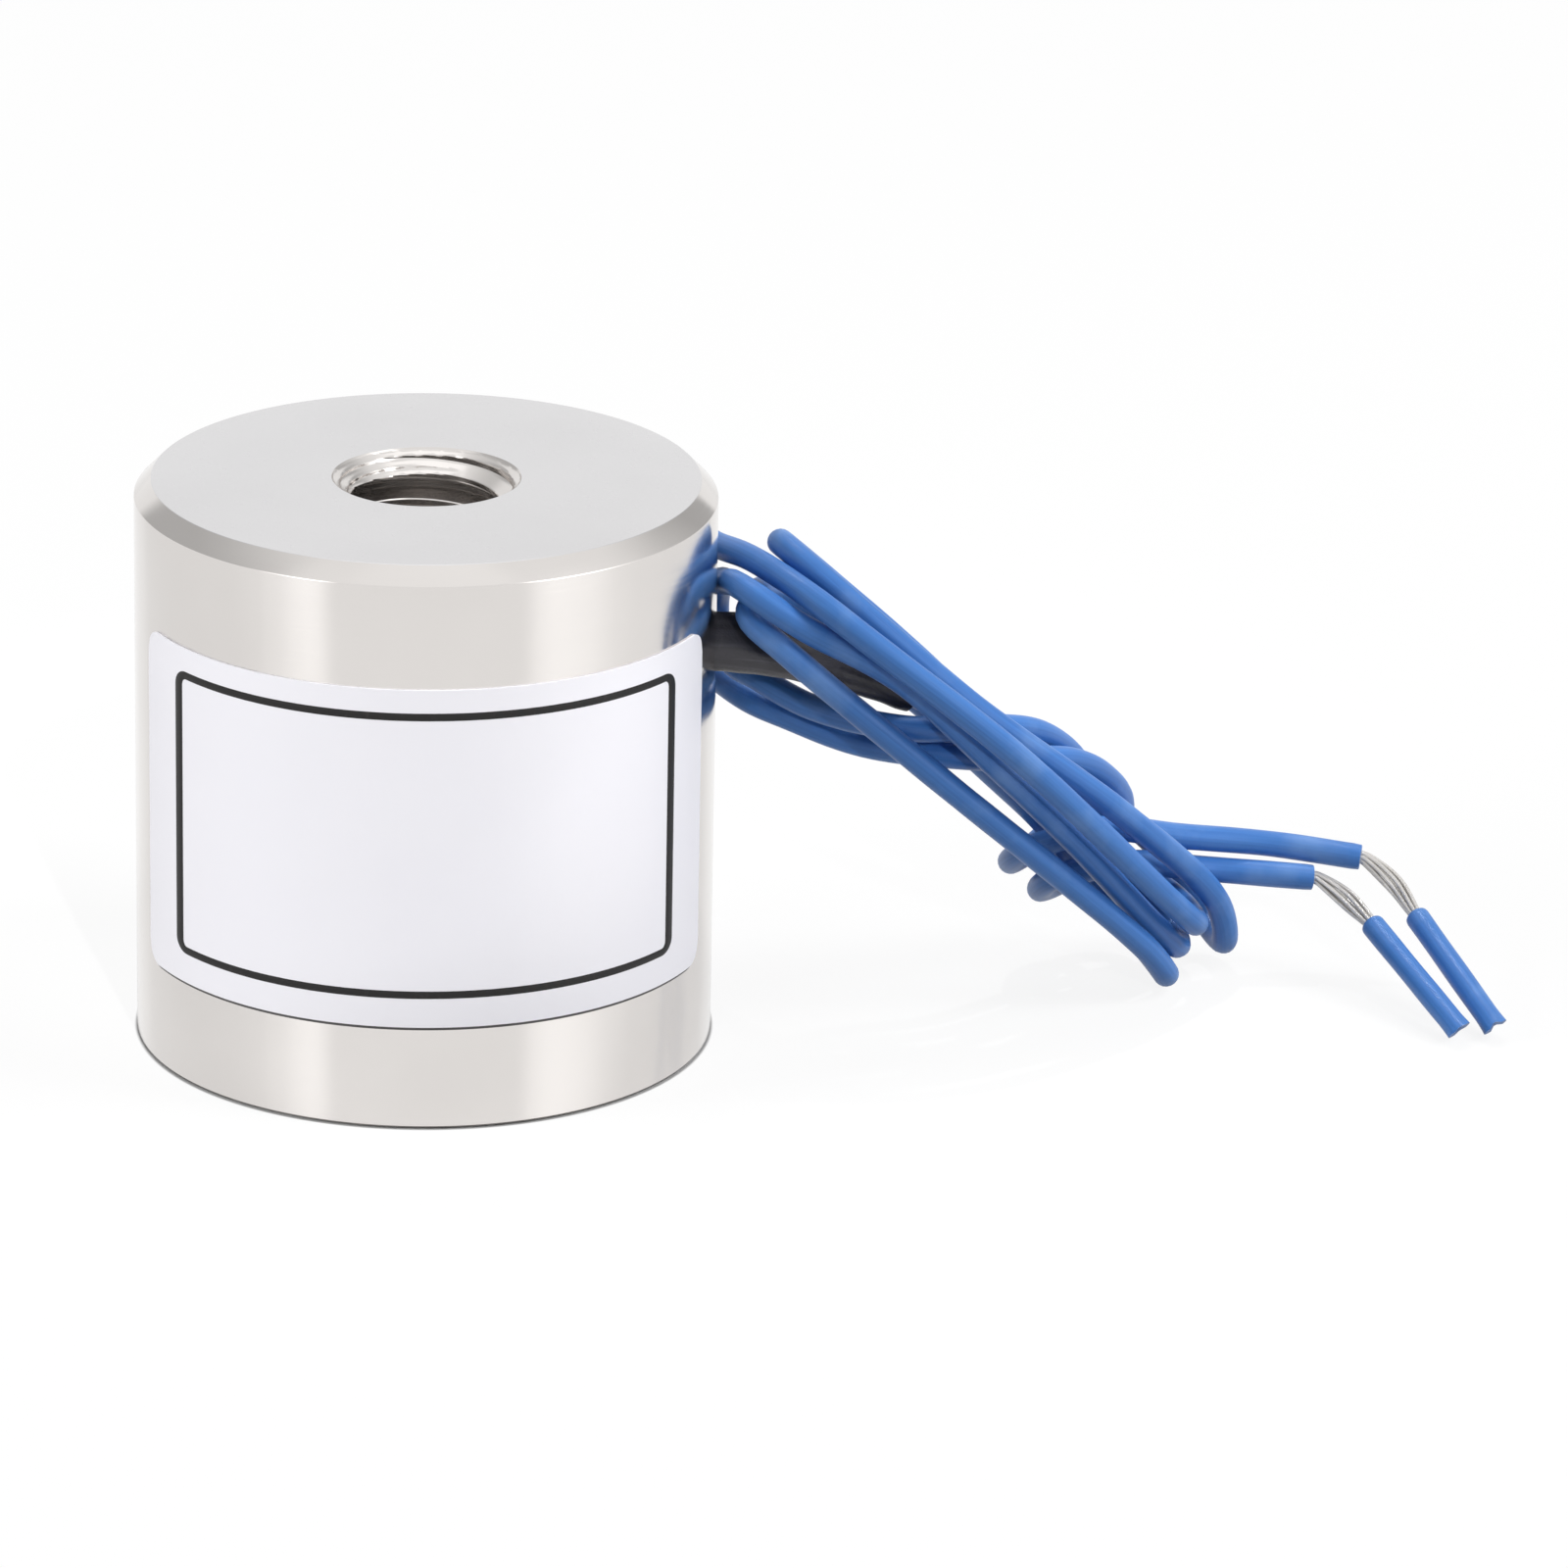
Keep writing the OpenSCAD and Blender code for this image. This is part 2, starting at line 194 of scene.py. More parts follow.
def skinRings(rings, alongs, width, firstPoint=0):
    # quads between rings of points, closed by a face at each end, with uvs in mm
    count = len(rings[0])
    points = [tuple(p) for ring in rings for p in ring]
    faces, uvs = [], []
    for i in range(len(rings) - 1):
        for k in range(count):
            n = (k + 1) % count
            a, b = i * count + firstPoint, (i + 1) * count + firstPoint
            faces.append((a + k, a + n, b + n, b + k))
            u0, u1 = width * k / count, width * (k + 1) / count
            uvs += [(u0, alongs[i]), (u1, alongs[i]), (u1, alongs[i + 1]), (u0, alongs[i + 1])]
    faces.append(tuple(firstPoint + k for k in reversed(range(count))))
    faces.append(tuple(firstPoint + (len(rings) - 1) * count + k for k in range(count)))
    uvs += [(0, alongs[0])] * count + [(0, alongs[-1])] * count
    return points, faces, uvs


def ringsAlong(path, frames, sections):
    _, sides, ups = frames
    return [path[i] + s[:, :1] * sides[i] + s[:, 1:] * ups[i] for i, s in enumerate(sections)]


# both leads, mm: joint inside, sleeve, hank, turn round the hank, tail
leads = {
    "outside": 0.92,
    "core": 0.4,
    "coreGap": 0.02,
    "exitA": (10, 0.42, 14.22),
    "exitB": (10, -0.42, 13.78),
    "routeA": [
        (5, 2.9, 14.22), (6.6, 0.42, 14.22), (11.2, 0.42, 14.22), (17.2, 1.42, 12.27), (19.6, 2.3, 10.2),
        (22.9, 3.7, 7.1), (25.3, 5.4, 5.2), (26.8, 7.1, 2.9), (27.9, 6.5, 1.3), (28.4, 4.9, 1.2),
        (28, 3.9, 3.1), (24.4, 1.5, 7.2), (18.8, -0.5, 12), (13.1, -0.1, 16.9), (12.2, 1.2, 17.3),
        (13.1, 2.7, 16.1), (17.6, 2.9, 12), (22.3, 4.5, 6.3), (25.3, 5.1, 3.8), (26.7, 4.7, 2.8),
        (27.2, 3, 2.6), (26.2, 1.6, 3.9), (20.4, -1.7, 10.5), (15.4, -2.3, 14.7), (12.9, -1.4, 16.4),
        (11.2, 0.9, 16.8), (10.1, 3.2, 16.5), (9.4, 5, 16.3), (8.7, 6.8, 15.1), (8.6, 7.2, 13.5),
        (9.1, 6.3, 12.2), (9.9, 4.5, 11.5), (11.2, 2.5, 11.1), (12.5, 1.6, 10.8), (15.2, 0.9, 10),
        (18.4, 0.3, 9.8), (21, 1.2, 9.4), (22.6, 2.7, 8.8), (23.9, 4.4, 7.6), (24.7, 6.2, 5.9),
        (24.4, 7.6, 4), (22.8, 6.9, 2.8), (21.8, 5, 3.1), (22.3, 2.9, 4.4), (24.7, 3.1, 4.8),
        (27.5, 5, 3.9), (31.5, 5.2, 3.5),
    ],
    "routeB": [
        (5, -2.9, 13.78), (6.6, -0.42, 13.78), (11.2, -0.42, 13.78), (17.2, 0.58, 11.83), (18.9, 1.8, 9.5),
        (21.9, 3.6, 6), (24.6, 5.1, 2.1), (25.7, 4.6, 0.9), (26.2, 2.9, 0.7), (25.3, 1.7, 2.2),
        (17.7, -1.4, 9.6), (12.3, -1.6, 14.3), (11.1, -0.7, 15.2), (11.3, 0.4, 15.5), (11.6, 1.7, 15.4),
        (12.2, 2.9, 14.8), (13.8, 3.4, 13.5), (17.4, 3.6, 10.5), (20.8, 5, 7), (25.3, 6.3, 2.7),
        (26.4, 5.8, 1.7), (26.7, 4.2, 1.3), (25.7, 2.7, 2.6), (22.6, 0.6, 6.6), (19.4, -0.9, 10.2),
        (16.3, -1.4, 13.2), (12.9, -1.7, 15.2), (11.2, -1.5, 16.3), (10.6, -0.3, 16.3), (10.4, 1.3, 15.8),
        (10.2, 2.8, 15.3), (10.1, 3.7, 14.2), (10.2, 3.5, 13.1), (10.7, 2.5, 12.4), (11.5, 1.6, 12.2),
        (13.4, 0.5, 11.5), (16.6, -0.5, 11.1), (19.2, 0.5, 10.8), (20.9, 2, 10.2), (22, 3.4, 9.3),
        (22.9, 4.8, 8), (23.1, 6.3, 6.4), (22.4, 7.1, 4.7), (21.3, 6.2, 4), (20.7, 4.6, 4.3),
        (21.3, 2.5, 5.6), (23.6, 2.5, 6.3), (26.6, 4.8, 5.2), (30.1, 5.9, 4.5), (33.2, 5.4, 4.2),
    ],
    "step": 0.3,
    "sides": 20,
    "cutEdge": 0.05,  # roundness of the cut insulation
    "cutDepth": 0.6,  # how far the bared core shows inside the cut end
    "blue": "457BC2",
    "blueDeep": "3465A9",
    "bloom": "82A6D9",
}


def makeBluePvc(setup):
    # extruded PVC insulation: soft satin shine, faint lines along the wire and a pale bloom from handling
    material, tree = newMaterial("blue_pvc_extruded")
    uv = addNode(tree, "ShaderNodeTexCoord").outputs["UV"]  # mm round and along the wire
    place = addNode(tree, "ShaderNodeTexCoord").outputs["Object"]
    # die lines 0.11 mm wide and 8 mm long
    lines = addNode(tree, "ShaderNodeMapping", {"Vector": uv, "Scale": (9, 0.12, 1)})
    lineNoise = addNode(tree, "ShaderNodeTexNoise", {"Vector": lines, "Scale": 1.0, "Detail": 3.0})
    cloud = addNode(tree, "ShaderNodeTexNoise", {"Vector": place, "Scale": perMm(2.5), "Detail": 4.0})
    skin = addNode(tree, "ShaderNodeTexNoise", {"Vector": place, "Scale": perMm(0.12), "Detail": 2.0})
    deepShare = addNode(tree, "ShaderNodeMapRange", {
        "Value": lineNoise.outputs[0], "From Min": 0.35, "From Max": 0.65, "To Min": 0.0, "To Max": 0.55})
    body = addNode(tree, "ShaderNodeMix", {
        0: deepShare, 6: toLinear(setup["blue"]), 7: toLinear(setup["blueDeep"])}, data_type="RGBA")
    bloomShare = addNode(tree, "ShaderNodeMapRange", {
        "Value": cloud.outputs[0], "From Min": 0.52, "From Max": 0.78, "To Min": 0.0, "To Max": 0.5})
    colour = addNode(tree, "ShaderNodeMix", {
        0: bloomShare, 6: body.outputs[2], 7: toLinear(setup["bloom"])}, data_type="RGBA")
    shine = addNode(tree, "ShaderNodeMapRange", {
        "Value": cloud.outputs[0], "From Min": 0.3, "From Max": 0.7, "To Min": 0.36, "To Max": 0.48})
    relief = addNode(tree, "ShaderNodeMath", {
        0: lineNoise.outputs[0], 1: skin.outputs[0]}, operation="ADD")
    bump = addNode(tree, "ShaderNodeBump", {"Height": relief, "Strength": 0.1, "Distance": 0.00004})
    shader = addNode(tree, "ShaderNodeBsdfPrincipled", {
        "Base Color": colour.outputs[2], "Roughness": shine.outputs[0], "IOR": 1.53,
        "Specular IOR Level": 0.4, "Normal": bump})
    addNode(tree, "ShaderNodeOutputMaterial", {"Surface": shader})
    return material


bluePvc = makeBluePvc(leads)


def makeLead(name, node, route, setup):
    # insulation as a tube, its far end cut square and hollow round the bared core
    path, marks = smoothRoute(route, setup["step"])
    frames = carryFrames(path)
    radius = setup["outside"] / 2
    # the insulation is never quite even
    swell = 1 + 0.008 * np.sin(marks * 0.9 + len(name)) + 0.006 * np.sin(marks * 2.3)
    sections = [roundSection(radius * w, setup["sides"]) for w in swell]
    rings = ringsAlong(path, frames, sections)
    tangent, side, up = (f[-1] for f in frames)
    edge, hole = setup["cutEdge"], setup["core"] / 2 + setup["coreGap"]
    rings.pop()  # gives way to the rounded edge of the cut
    cutEnd = [(-0.4 * edge, radius - 0.3 * edge), (0, radius - edge), (0, hole), (-setup["cutDepth"], hole)]
    for ahead, r in cutEnd:
        s = roundSection(r, setup["sides"])
        rings.append(path[-1] + ahead * tangent + s[:, :1] * side + s[:, 1:] * up)
    alongs = list(marks[:-1]) + [marks[-1]] * len(cutEnd)
    points, faces, uvs = skinRings(rings, alongs, math.pi * setup["outside"])
    piece = newPiece(name, points, faces, [bluePvc], uvs)
    crease(piece, 50)
    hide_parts(node)
    return piece, path, tangent


blueLeadA, pathA, endA = makeLead("blue_lead_a", "lead_a", leads["routeA"], leads)
blueLeadB, pathB, endB = makeLead("blue_lead_b", "lead_b", leads["routeB"], leads)
print("leads swept:", len(pathA), "and", len(pathB), "rings")


# bared strands between each lead and its piece of cut insulation
strands = {
    "count": 8,
    "wire": 0.15,  # diameter of one strand
    "packed": 0.12,  # how far the outer strands lie from the middle where they are held
    "splayed": 0.24,  # and half way along
    "turn": 50,  # degrees that the lay turns from end to end
    "inside": 0.5,  # how far they reach into the insulation at both ends
    "straight": 0.1,  # how far they go on straight outside it
    "middleA": (32.6, 4.65, 2.95),
    "middleB": (34.3, 4.9, 3.45),
    "step": 0.06,
    "sides": 12,
    "tin": "DAD8D5",
    "tinShade": "C2BEB9",
}

# insulation cut through and pulled part of the way off
slugs = {
    "outside": 0.86,
    "hole": 0.44,
    "routeA": [(33.5, 3.4, 2.4), (36.1, -1.9, 0.5)],
    "routeB": [(35.1, 3.7, 2.6), (37.4, -1.6, 0.5)],
    "pinch": 0.7,  # length that the cutter squeezed
    "flare": 0.08,  # how much wider and flatter the tip is
    "flatSide": (0.81, 0.2, 0.55),  # across the wide side
    "slant": 0.65,  # the cutter stood at an angle
    "slantLength": 0.5, "tipRings": 10,  # how much of the tip it took along
    "notchAt": 0.1, "notchHalf": 0.55,  # middle and half width of the V, in radii
    "notchA": 0.05, "notchB": 0.18,  # its depth
    "bore": 0.6,  # how deep the open end is modelled
    "openEdge": 0.04,
    "cutFace": ((0.88, 0.0), (0.5, 0.03), (0.2, 0.08), (0.12, 0.12)),  # share of the rim, how far it dips
    "step": 0.1,
    "sides": 28,
}


def makeTinnedCopper(setup):
    # drawn copper wire dipped in tin: bright silver with a soft, slightly patchy skin
    material, tree = newMaterial("tinned_copper_drawn")
    place = addNode(tree, "ShaderNodeTexCoord").outputs["Object"]
    patches = addNode(tree, "ShaderNodeTexNoise", {"Vector": place, "Scale": perMm(0.35), "Detail": 3.0})
    colour = addNode(tree, "ShaderNodeMix", {
        0: patches.outputs[0], 6: toLinear(setup["tin"]), 7: toLinear(setup["tinShade"])}, data_type="RGBA")
    shine = addNode(tree, "ShaderNodeMapRange", {
        "Value": patches.outputs[0], "From Min": 0.3, "From Max": 0.7, "To Min": 0.34, "To Max": 0.46})
    bump = addNode(tree, "ShaderNodeBump", {
        "Height": patches.outputs[0], "Strength": 0.06, "Distance": 0.00002})
    shader = addNode(tree, "ShaderNodeBsdfPrincipled", {
        "Base Color": colour.outputs[2], "Metallic": 0.5, "Roughness": shine.outputs[0], "Normal": bump})
    addNode(tree, "ShaderNodeOutputMaterial", {"Surface": shader})
    return material


tinnedCopper = makeTinnedCopper(strands)


def makeStrands(name, node, leadEnd, leadTangent, middle, slugRoute, setup):
    # one strand in the middle and the others round it, each spread a little by itself
    start, tip = (np.array(p, float) for p in slugRoute)
    slugDir = (tip - start) / np.linalg.norm(tip - start)
    line, marks = smoothRoute([
        leadEnd - setup["inside"] * leadTangent, leadEnd, leadEnd + setup["straight"] * leadTangent, middle,
        start - setup["straight"] * slugDir, start, start + setup["inside"] * slugDir], setup["step"])
    frames = carryFrames(line)
    share = marks / marks[-1]
    spread = setup["packed"] + (setup["splayed"] - setup["packed"]) * np.sin(np.pi * share) ** 1.5
    points, faces, uvs = [], [], []
    for i in range(setup["count"]):
        if i == 0:
            offset = np.zeros((len(line), 2))
        else:
            turn = 2 * math.pi * i / (setup["count"] - 1) + np.radians(setup["turn"]) * share
            own = spread * (1 + random.uniform(-0.2, 0.25) * np.sin(np.pi * share))
            offset = np.stack([own * np.cos(turn), own * np.sin(turn)], 1)
        path = line + offset[:, :1] * frames[1] + offset[:, 1:] * frames[2]
        section = roundSection(setup["wire"] / 2, setup["sides"])
        rings = ringsAlong(path, carryFrames(path), [section] * len(path))
        p, f, u = skinRings(rings, list(marks), math.pi * setup["wire"], len(points))
        points, faces, uvs = points + p, faces + f, uvs + u
    piece = newPiece(name, points, faces, [tinnedCopper], uvs)
    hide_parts(node)
    return piece


def makeSlug(name, node, route, setup, seed, notch):
    # short piece of insulation, open where the strands go in, flattened and notched by the cutter at its tip
    halfway = (np.array(route[0]) + np.array(route[1])) / 2
    path, marks = smoothRoute([route[0], halfway, route[1]], setup["step"])
    frames = carryFrames(path, setup["flatSide"])
    radius, hole, length = setup["outside"] / 2, setup["hole"] / 2, marks[-1]
    rings, alongs = [], []
    tangent, side, up = (f[0] for f in frames)
    soft = setup["openEdge"]
    for ahead, r in ((setup["bore"], hole), (0, hole), (0, radius - soft), (soft / 2, radius - soft / 4)):
        s = roundSection(r, setup["sides"])
        rings.append(path[0] + ahead * tangent + s[:, :1] * side + s[:, 1:] * up)
        alongs.append(0)
    for i in range(1, len(path)):
        s = roundSection(radius * (1 + 0.012 * math.sin(marks[i] * 1.7 + seed)), setup["sides"])
        squeeze = max(0, 1 - (length - marks[i]) / setup["pinch"]) ** 1.5
        s = s * np.array([1 + setup["flare"] * squeeze, 1 - setup["flare"] * squeeze])
        rings.append(path[i] + s[:, :1] * frames[1][i] + s[:, 1:] * frames[2][i])
        alongs.append(marks[i])
    tangent, side, up = (f[-1] for f in frames)
    rim = rings[-1]
    for inward, sink in setup["cutFace"]:
        rings.append(path[-1] + inward * (rim - path[-1]) - sink * tangent)
        alongs.append(length)
    # the cut end: on the slant, with a V in the middle of the wide side
    for ring in rings[-setup["tipRings"]:]:
        near = 1 - min(1, max(0, (path[-1] - ring.mean(0)).dot(tangent) / setup["slantLength"]))
        for k in range(len(ring)):
            off = (ring[k] - path[-1]).dot(side) / radius
            rise = (ring[k] - path[-1]).dot(up) * setup["slant"]
            bite = notch * max(0, 1 - abs(off - setup["notchAt"]) / setup["notchHalf"])
            ring[k] += near * (rise - bite) * tangent
    points, faces, uvs = skinRings(rings, alongs, math.pi * setup["outside"])
    piece = newPiece(name, points, faces, [bluePvc], uvs)
    crease(piece, 50)
    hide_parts(node)
    return piece


strandsA = makeStrands("tinned_strands_a", "bare_strands_a", pathA[-1], endA, strands["middleA"],
                       slugs["routeA"], strands)
strandsB = makeStrands("tinned_strands_b", "bare_strands_b", pathB[-1], endB, strands["middleB"],
                       slugs["routeB"], strands)
slugA = makeSlug("cut_insulation_a", "insulation_slug_a", slugs["routeA"], slugs, 0.4, slugs["notchA"])
slugB = makeSlug("cut_insulation_b", "insulation_slug_b", slugs["routeB"], slugs, 2.1, slugs["notchB"])
print("strands and cut insulation made")


# black sleeve shrunk over both leads where they leave the body
sleeve = {
    "from": 7.2, "to": 16.82,  # along x, on the middle between the leads
    "runEnd": 17.1,  # so far both leads go steadily outwards
    "girth": 6.2,
    "tuck": 0.5,  # how far its inner wall is modelled at each end
    "lip": 0.03, "lipLength": 0.25,  # how far the ends draw in more
    "lobe": (0.42, 0.22),  # where each lead lies from the middle
    "lobeRadius": 0.69,
    "waist": 0.07, "waistWide": 0.3,  # how far the sleeve draws in between the leads
    "wall": 0.2,
    "step": 0.12,
    "sides": 40,
    "black": "343338",
    # this grey is laid on the ridges of the folds: painted sheen, with some dust
    "greyPatch": "535258",
}


def makeShrinkSleeve(setup):
    # polyolefin heat-shrink: dull black with a fine grain, and a soft grey sheen painted into the colour on
    # the ridges, with some dust there
    material, tree = newMaterial("black_polyolefin_heat_shrunk")
    place = addNode(tree, "ShaderNodeTexCoord").outputs["Object"]
    uv = addNode(tree, "ShaderNodeTexCoord").outputs["UV"]
    grain = addNode(tree, "ShaderNodeTexNoise", {"Vector": place, "Scale": perMm(0.1), "Detail": 3.0})
    drawn = addNode(tree, "ShaderNodeMapping", {"Vector": uv, "Scale": (4, 0.25, 1)})  # folds 0.25 mm wide
    drawnNoise = addNode(tree, "ShaderNodeTexNoise", {"Vector": drawn, "Scale": 1.0, "Detail": 3.0})
    # grey where the folds stand highest: painted sheen on the ridges, with some dust
    dustAndSheenShare = addNode(tree, "ShaderNodeMapRange", {
        "Value": drawnNoise.outputs[0], "From Min": 0.5, "From Max": 0.75, "To Min": 0.0, "To Max": 0.7})
    colour = addNode(tree, "ShaderNodeMix", {
        0: dustAndSheenShare, 6: toLinear(setup["black"]), 7: toLinear(setup["greyPatch"])}, data_type="RGBA")
    shine = addNode(tree, "ShaderNodeMapRange", {
        "Value": grain.outputs[0], "From Min": 0.3, "From Max": 0.7, "To Min": 0.34, "To Max": 0.5})
    relief = addNode(tree, "ShaderNodeMath", {0: drawnNoise.outputs[0], 1: grain.outputs[0]}, operation="ADD")
    bump = addNode(tree, "ShaderNodeBump", {"Height": relief, "Strength": 0.3, "Distance": 0.00006})
    shader = addNode(tree, "ShaderNodeBsdfPrincipled", {
        "Base Color": colour.outputs[2], "Roughness": shine.outputs[0], "IOR": 1.5, "Normal": bump})
    addNode(tree, "ShaderNodeOutputMaterial", {"Surface": shader})
    return material


heatShrink = makeShrinkSleeve(sleeve)


def makeSleeve(setup):
    # one sleeve along the middle of both leads, which is taken at equal x
    xs = np.linspace(setup["from"], setup["to"], 12)
    runs = []
    for lead in (pathA, pathB):
        run = lead[:np.argmax(lead[:, 0] > setup["runEnd"]) + 1]
        runs.append([np.interp(xs, run[:, 0], run[:, k]) for k in (1, 2)])
    (ya, za), (yb, zb) = runs
    path, marks = smoothRoute(np.stack([xs, (ya + yb) / 2, (za + zb) / 2], 1), setup["step"])
    frames = carryFrames(path)
    cy, cz = setup["lobe"]
    tilt = math.atan2(cz, cy)
    half = math.hypot(cy, cz)

    def outline(radius, waist):
        # hull of the two leads, drawn in a little between them
        edge = []
        for k in range(setup["sides"]):
            w = 2 * math.pi * k / setup["sides"]
            x = half * max(-1, min(1, 1.6 * math.cos(w))) + radius * math.cos(w)
            y = radius * math.sin(w)
            y *= 1 - waist / radius * math.exp(-(x / setup["waistWide"]) ** 2)
            edge.append((x * math.cos(tilt) - y * math.sin(tilt), x * math.sin(tilt) + y * math.cos(tilt)))
        return np.array(edge)

    sections = []
    for m in marks:
        near = min(m, marks[-1] - m)
        ripple = 0.012 * math.sin(m * 2.1) + 0.008 * math.sin(m * 5.3 + 1)  # waves left by the heat
        lip = setup["lip"] * math.exp(-(near / setup["lipLength"]) ** 2)
        waist = setup["waist"] * (1 + 0.4 * math.sin(m * 1.3))
        sections.append(outline(setup["lobeRadius"] + ripple - lip, waist))
    rings = ringsAlong(path, frames, sections)
    thin = outline(setup["lobeRadius"] - setup["wall"], setup["waist"] * 0.5)
    for i, inward in ((0, 1), (-1, -1)):
        lips = []
        for depth in (0.0, setup["tuck"]):
            at = path[i] + inward * depth * frames[0][i]
            lips.append(at + thin[:, :1] * frames[1][i] + thin[:, 1:] * frames[2][i])
        rings = lips[::-1] + rings if i == 0 else rings + lips
    alongs = [0, 0] + list(marks) + [marks[-1]] * 2
    points, faces, uvs = skinRings(rings, alongs, setup["girth"])
    piece = newPiece("shrunk_sleeve", points, faces, [heatShrink], uvs)
    crease(piece, 55)
    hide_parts("lead_sleeve")
    return piece


shrunkSleeve = makeSleeve(sleeve)
print("sleeve shrunk on")


# pot, back plate and pole in one turned piece, mm
pot = {
    "radius": 10, "height": 20, "wall": 1.6, "plate": 16, "pole": 4.5,
    "chamfer": 0.6, "edgeBreak": 0.1, "breakRound": 0.03,
    "topEdge": 0.07,  # radius of the small round at each end of the chamfer
    "drill": 2.5, "thread": 3.0, "pitch": 1.0, "threadFloor": 12, "mouth": 3.25,
    "pointAngle": 31,  # of the drill that went before the tap
    "toolMark": 0.04, "toolStep": 0.27,  # rings that the countersink left in the mouth
    "threadFlank": (0.8, 0.62),  # where a flank starts and how wide it is, in half pitches
    "runOut": (0.2, 0.9),  # mm over the floor where the thread starts, and over which it fades in
    "leadHole": 1.3, "leadHoleHeight": 14, "leadHoleSides": 48,
    "leadHoleLength": 4,  # enough to go through the wall
    "faceRings": (3.6, 6.5), "sideRings": (16.6, 15.4, 12.9, 10, 5),  # rings that keep the faces short
    "insideRing": 12.5, "poleRing": 2,
    "segments": 160,
    "rowsPerTurn": 26,
    "side": "DFDBD8", "face": "DBDADB",
}


def roundedProfile(corners):
    # corners are (r, z, round); each round becomes a short arc of four steps
    line = []
    for i, (r, z, soft) in enumerate(corners):
        here = Vector((r, z))
        if soft == 0:
            line.append(here)
            continue
        back = (Vector(corners[i - 1][:2]) - here).normalized()
        on = (Vector(corners[i + 1][:2]) - here).normalized()
        angle = back.angle(on)
        reach = soft / math.tan(angle / 2)
        middle = here + (back + on).normalized() * (soft / math.sin(angle / 2))
        a, b = here + back * reach - middle, here + on * reach - middle
        swing = math.atan2(a.x * b.y - a.y * b.x, a.dot(b))
        for k in range(5):
            t = math.atan2(a.y, a.x) + swing * k / 4
            line.append(middle + Vector((soft * math.cos(t), soft * math.sin(t))))
    return line


def addRing(shape, spokes, r, z):
    # points round the axis, or one point on it
    if r < 1e-6:
        return [shape.verts.new((0, 0, z * mm))]
    return [shape.verts.new((r * x * mm, r * y * mm, z * mm)) for x, y in spokes]


def bridge(shape, a, b, tone):
    # faces from one ring to the next, or to a point
    for i in range(len(a)):
        k = (i + 1) % len(a)
        loop = [a[i], a[k], b[k], b[i]] if len(b) > 1 else [a[i], a[k], b[0]]
        shape.faces.new(loop).material_index = tone


def turnOutside(shape, spokes, setup):
    # from the mouth over the back face and down the side, then up the coil space and down the pole
    wide, top, edge, slope = setup["radius"], setup["height"], setup["edgeBreak"], setup["chamfer"]
    bore, pole, plate = wide - setup["wall"], setup["pole"], setup["plate"]
    small, tiny = setup["topEdge"], setup["breakRound"]
    line = [(r, top, 0) for r in (setup["mouth"], *setup["faceRings"])]
    line += [(wide - slope, top, small), (wide, top - slope, small)]
    line += [(wide, z, 0) for z in setup["sideRings"]]
    line += [(wide, edge, tiny), (wide - edge, 0, tiny), (bore + edge, 0, tiny), (bore, edge, tiny)]
    line += [(bore, setup["insideRing"], 0), (bore, plate, 0)]
    line += [(pole, plate, 0), (pole, setup["insideRing"], 0), (pole, edge, tiny), (pole - edge, 0, tiny)]
    line += [(setup["poleRing"], 0, 0), (0, 0, 0)]
    previous = None
    for r, z in roundedProfile(line):
        here = addRing(shape, spokes, r, z)
        if previous:
            faced = z > top - slope / 2 or z < 1e-4
            bridge(shape, previous, here, 1 if faced else 0)
        previous = here


def cutThread(shape, spokes, setup):
    # rows follow the helix, so each flank is a clean strip
    n, rows = setup["segments"], setup["rowsPerTurn"]
    low, top, pitch, drill = setup["threadFloor"], setup["height"], setup["pitch"], setup["drill"]
    coneFoot = top - (setup["mouth"] - drill)
    depth = setup["thread"] - drill
    flankStart, flankWide = setup["threadFlank"]
    runOut, fadeOver = setup["runOut"]

    def threadRadius(z, phase):
        p = abs(phase - 0.5) * 2  # 0 in the middle of the groove, 1 on the crest
        cut = min(1, max(0, (flankStart - p) / flankWide))
        fade = min(1, max(0, (z - low - runOut) / fadeOver))
        r = drill + depth * cut * fade
        down = top - z
        ripple = setup["toolMark"] * math.sin(2 * math.pi * down / setup["toolStep"]) * min(1, down / 0.1)
        return max(r, drill + z - coneFoot + ripple)

    turns = int((top - low) / pitch) + 2
    grid = []
    for j in range(turns * rows + 1):
        line = []
        for i in range(n + 1):
            z = low - pitch + pitch * j / rows + pitch * i / n
            z = min(top, max(low, z))
            r = threadRadius(z, (j / rows) % 1)
            x, y = spokes[i % n]
            line.append(shape.verts.new((r * x * mm, r * y * mm, z * mm)))
        grid.append(line)
    for j in range(turns * rows):
        for i in range(n):
            patch = [grid[j][i], grid[j + 1][i], grid[j + 1][i + 1], grid[j][i + 1]]
            shape.faces.new(patch).material_index = 2
    point = low - drill * math.tan(math.radians(setup["pointAngle"]))
    bridge(shape, addRing(shape, spokes, drill, low), addRing(shape, spokes, 0, point), 2)


def makePot(setup):
    # faces take material 0 where turned, 1 where faced off and 2 in the thread
    n = setup["segments"]
    spokes = [(math.cos(2 * math.pi * i / n), math.sin(2 * math.pi * i / n)) for i in range(n)]
    shape = bmesh.new()
    turnOutside(shape, spokes, setup)
    cutThread(shape, spokes, setup)
    bmesh.ops.remove_doubles(shape, verts=shape.verts, dist=0.002 * mm)
    bmesh.ops.dissolve_degenerate(shape, edges=shape.edges, dist=0.001 * mm)
    bmesh.ops.recalc_face_normals(shape, faces=shape.faces)
    mesh = bpy.data.meshes.new("plated_pot")
    shape.to_mesh(mesh)
    shape.free()
    return mesh


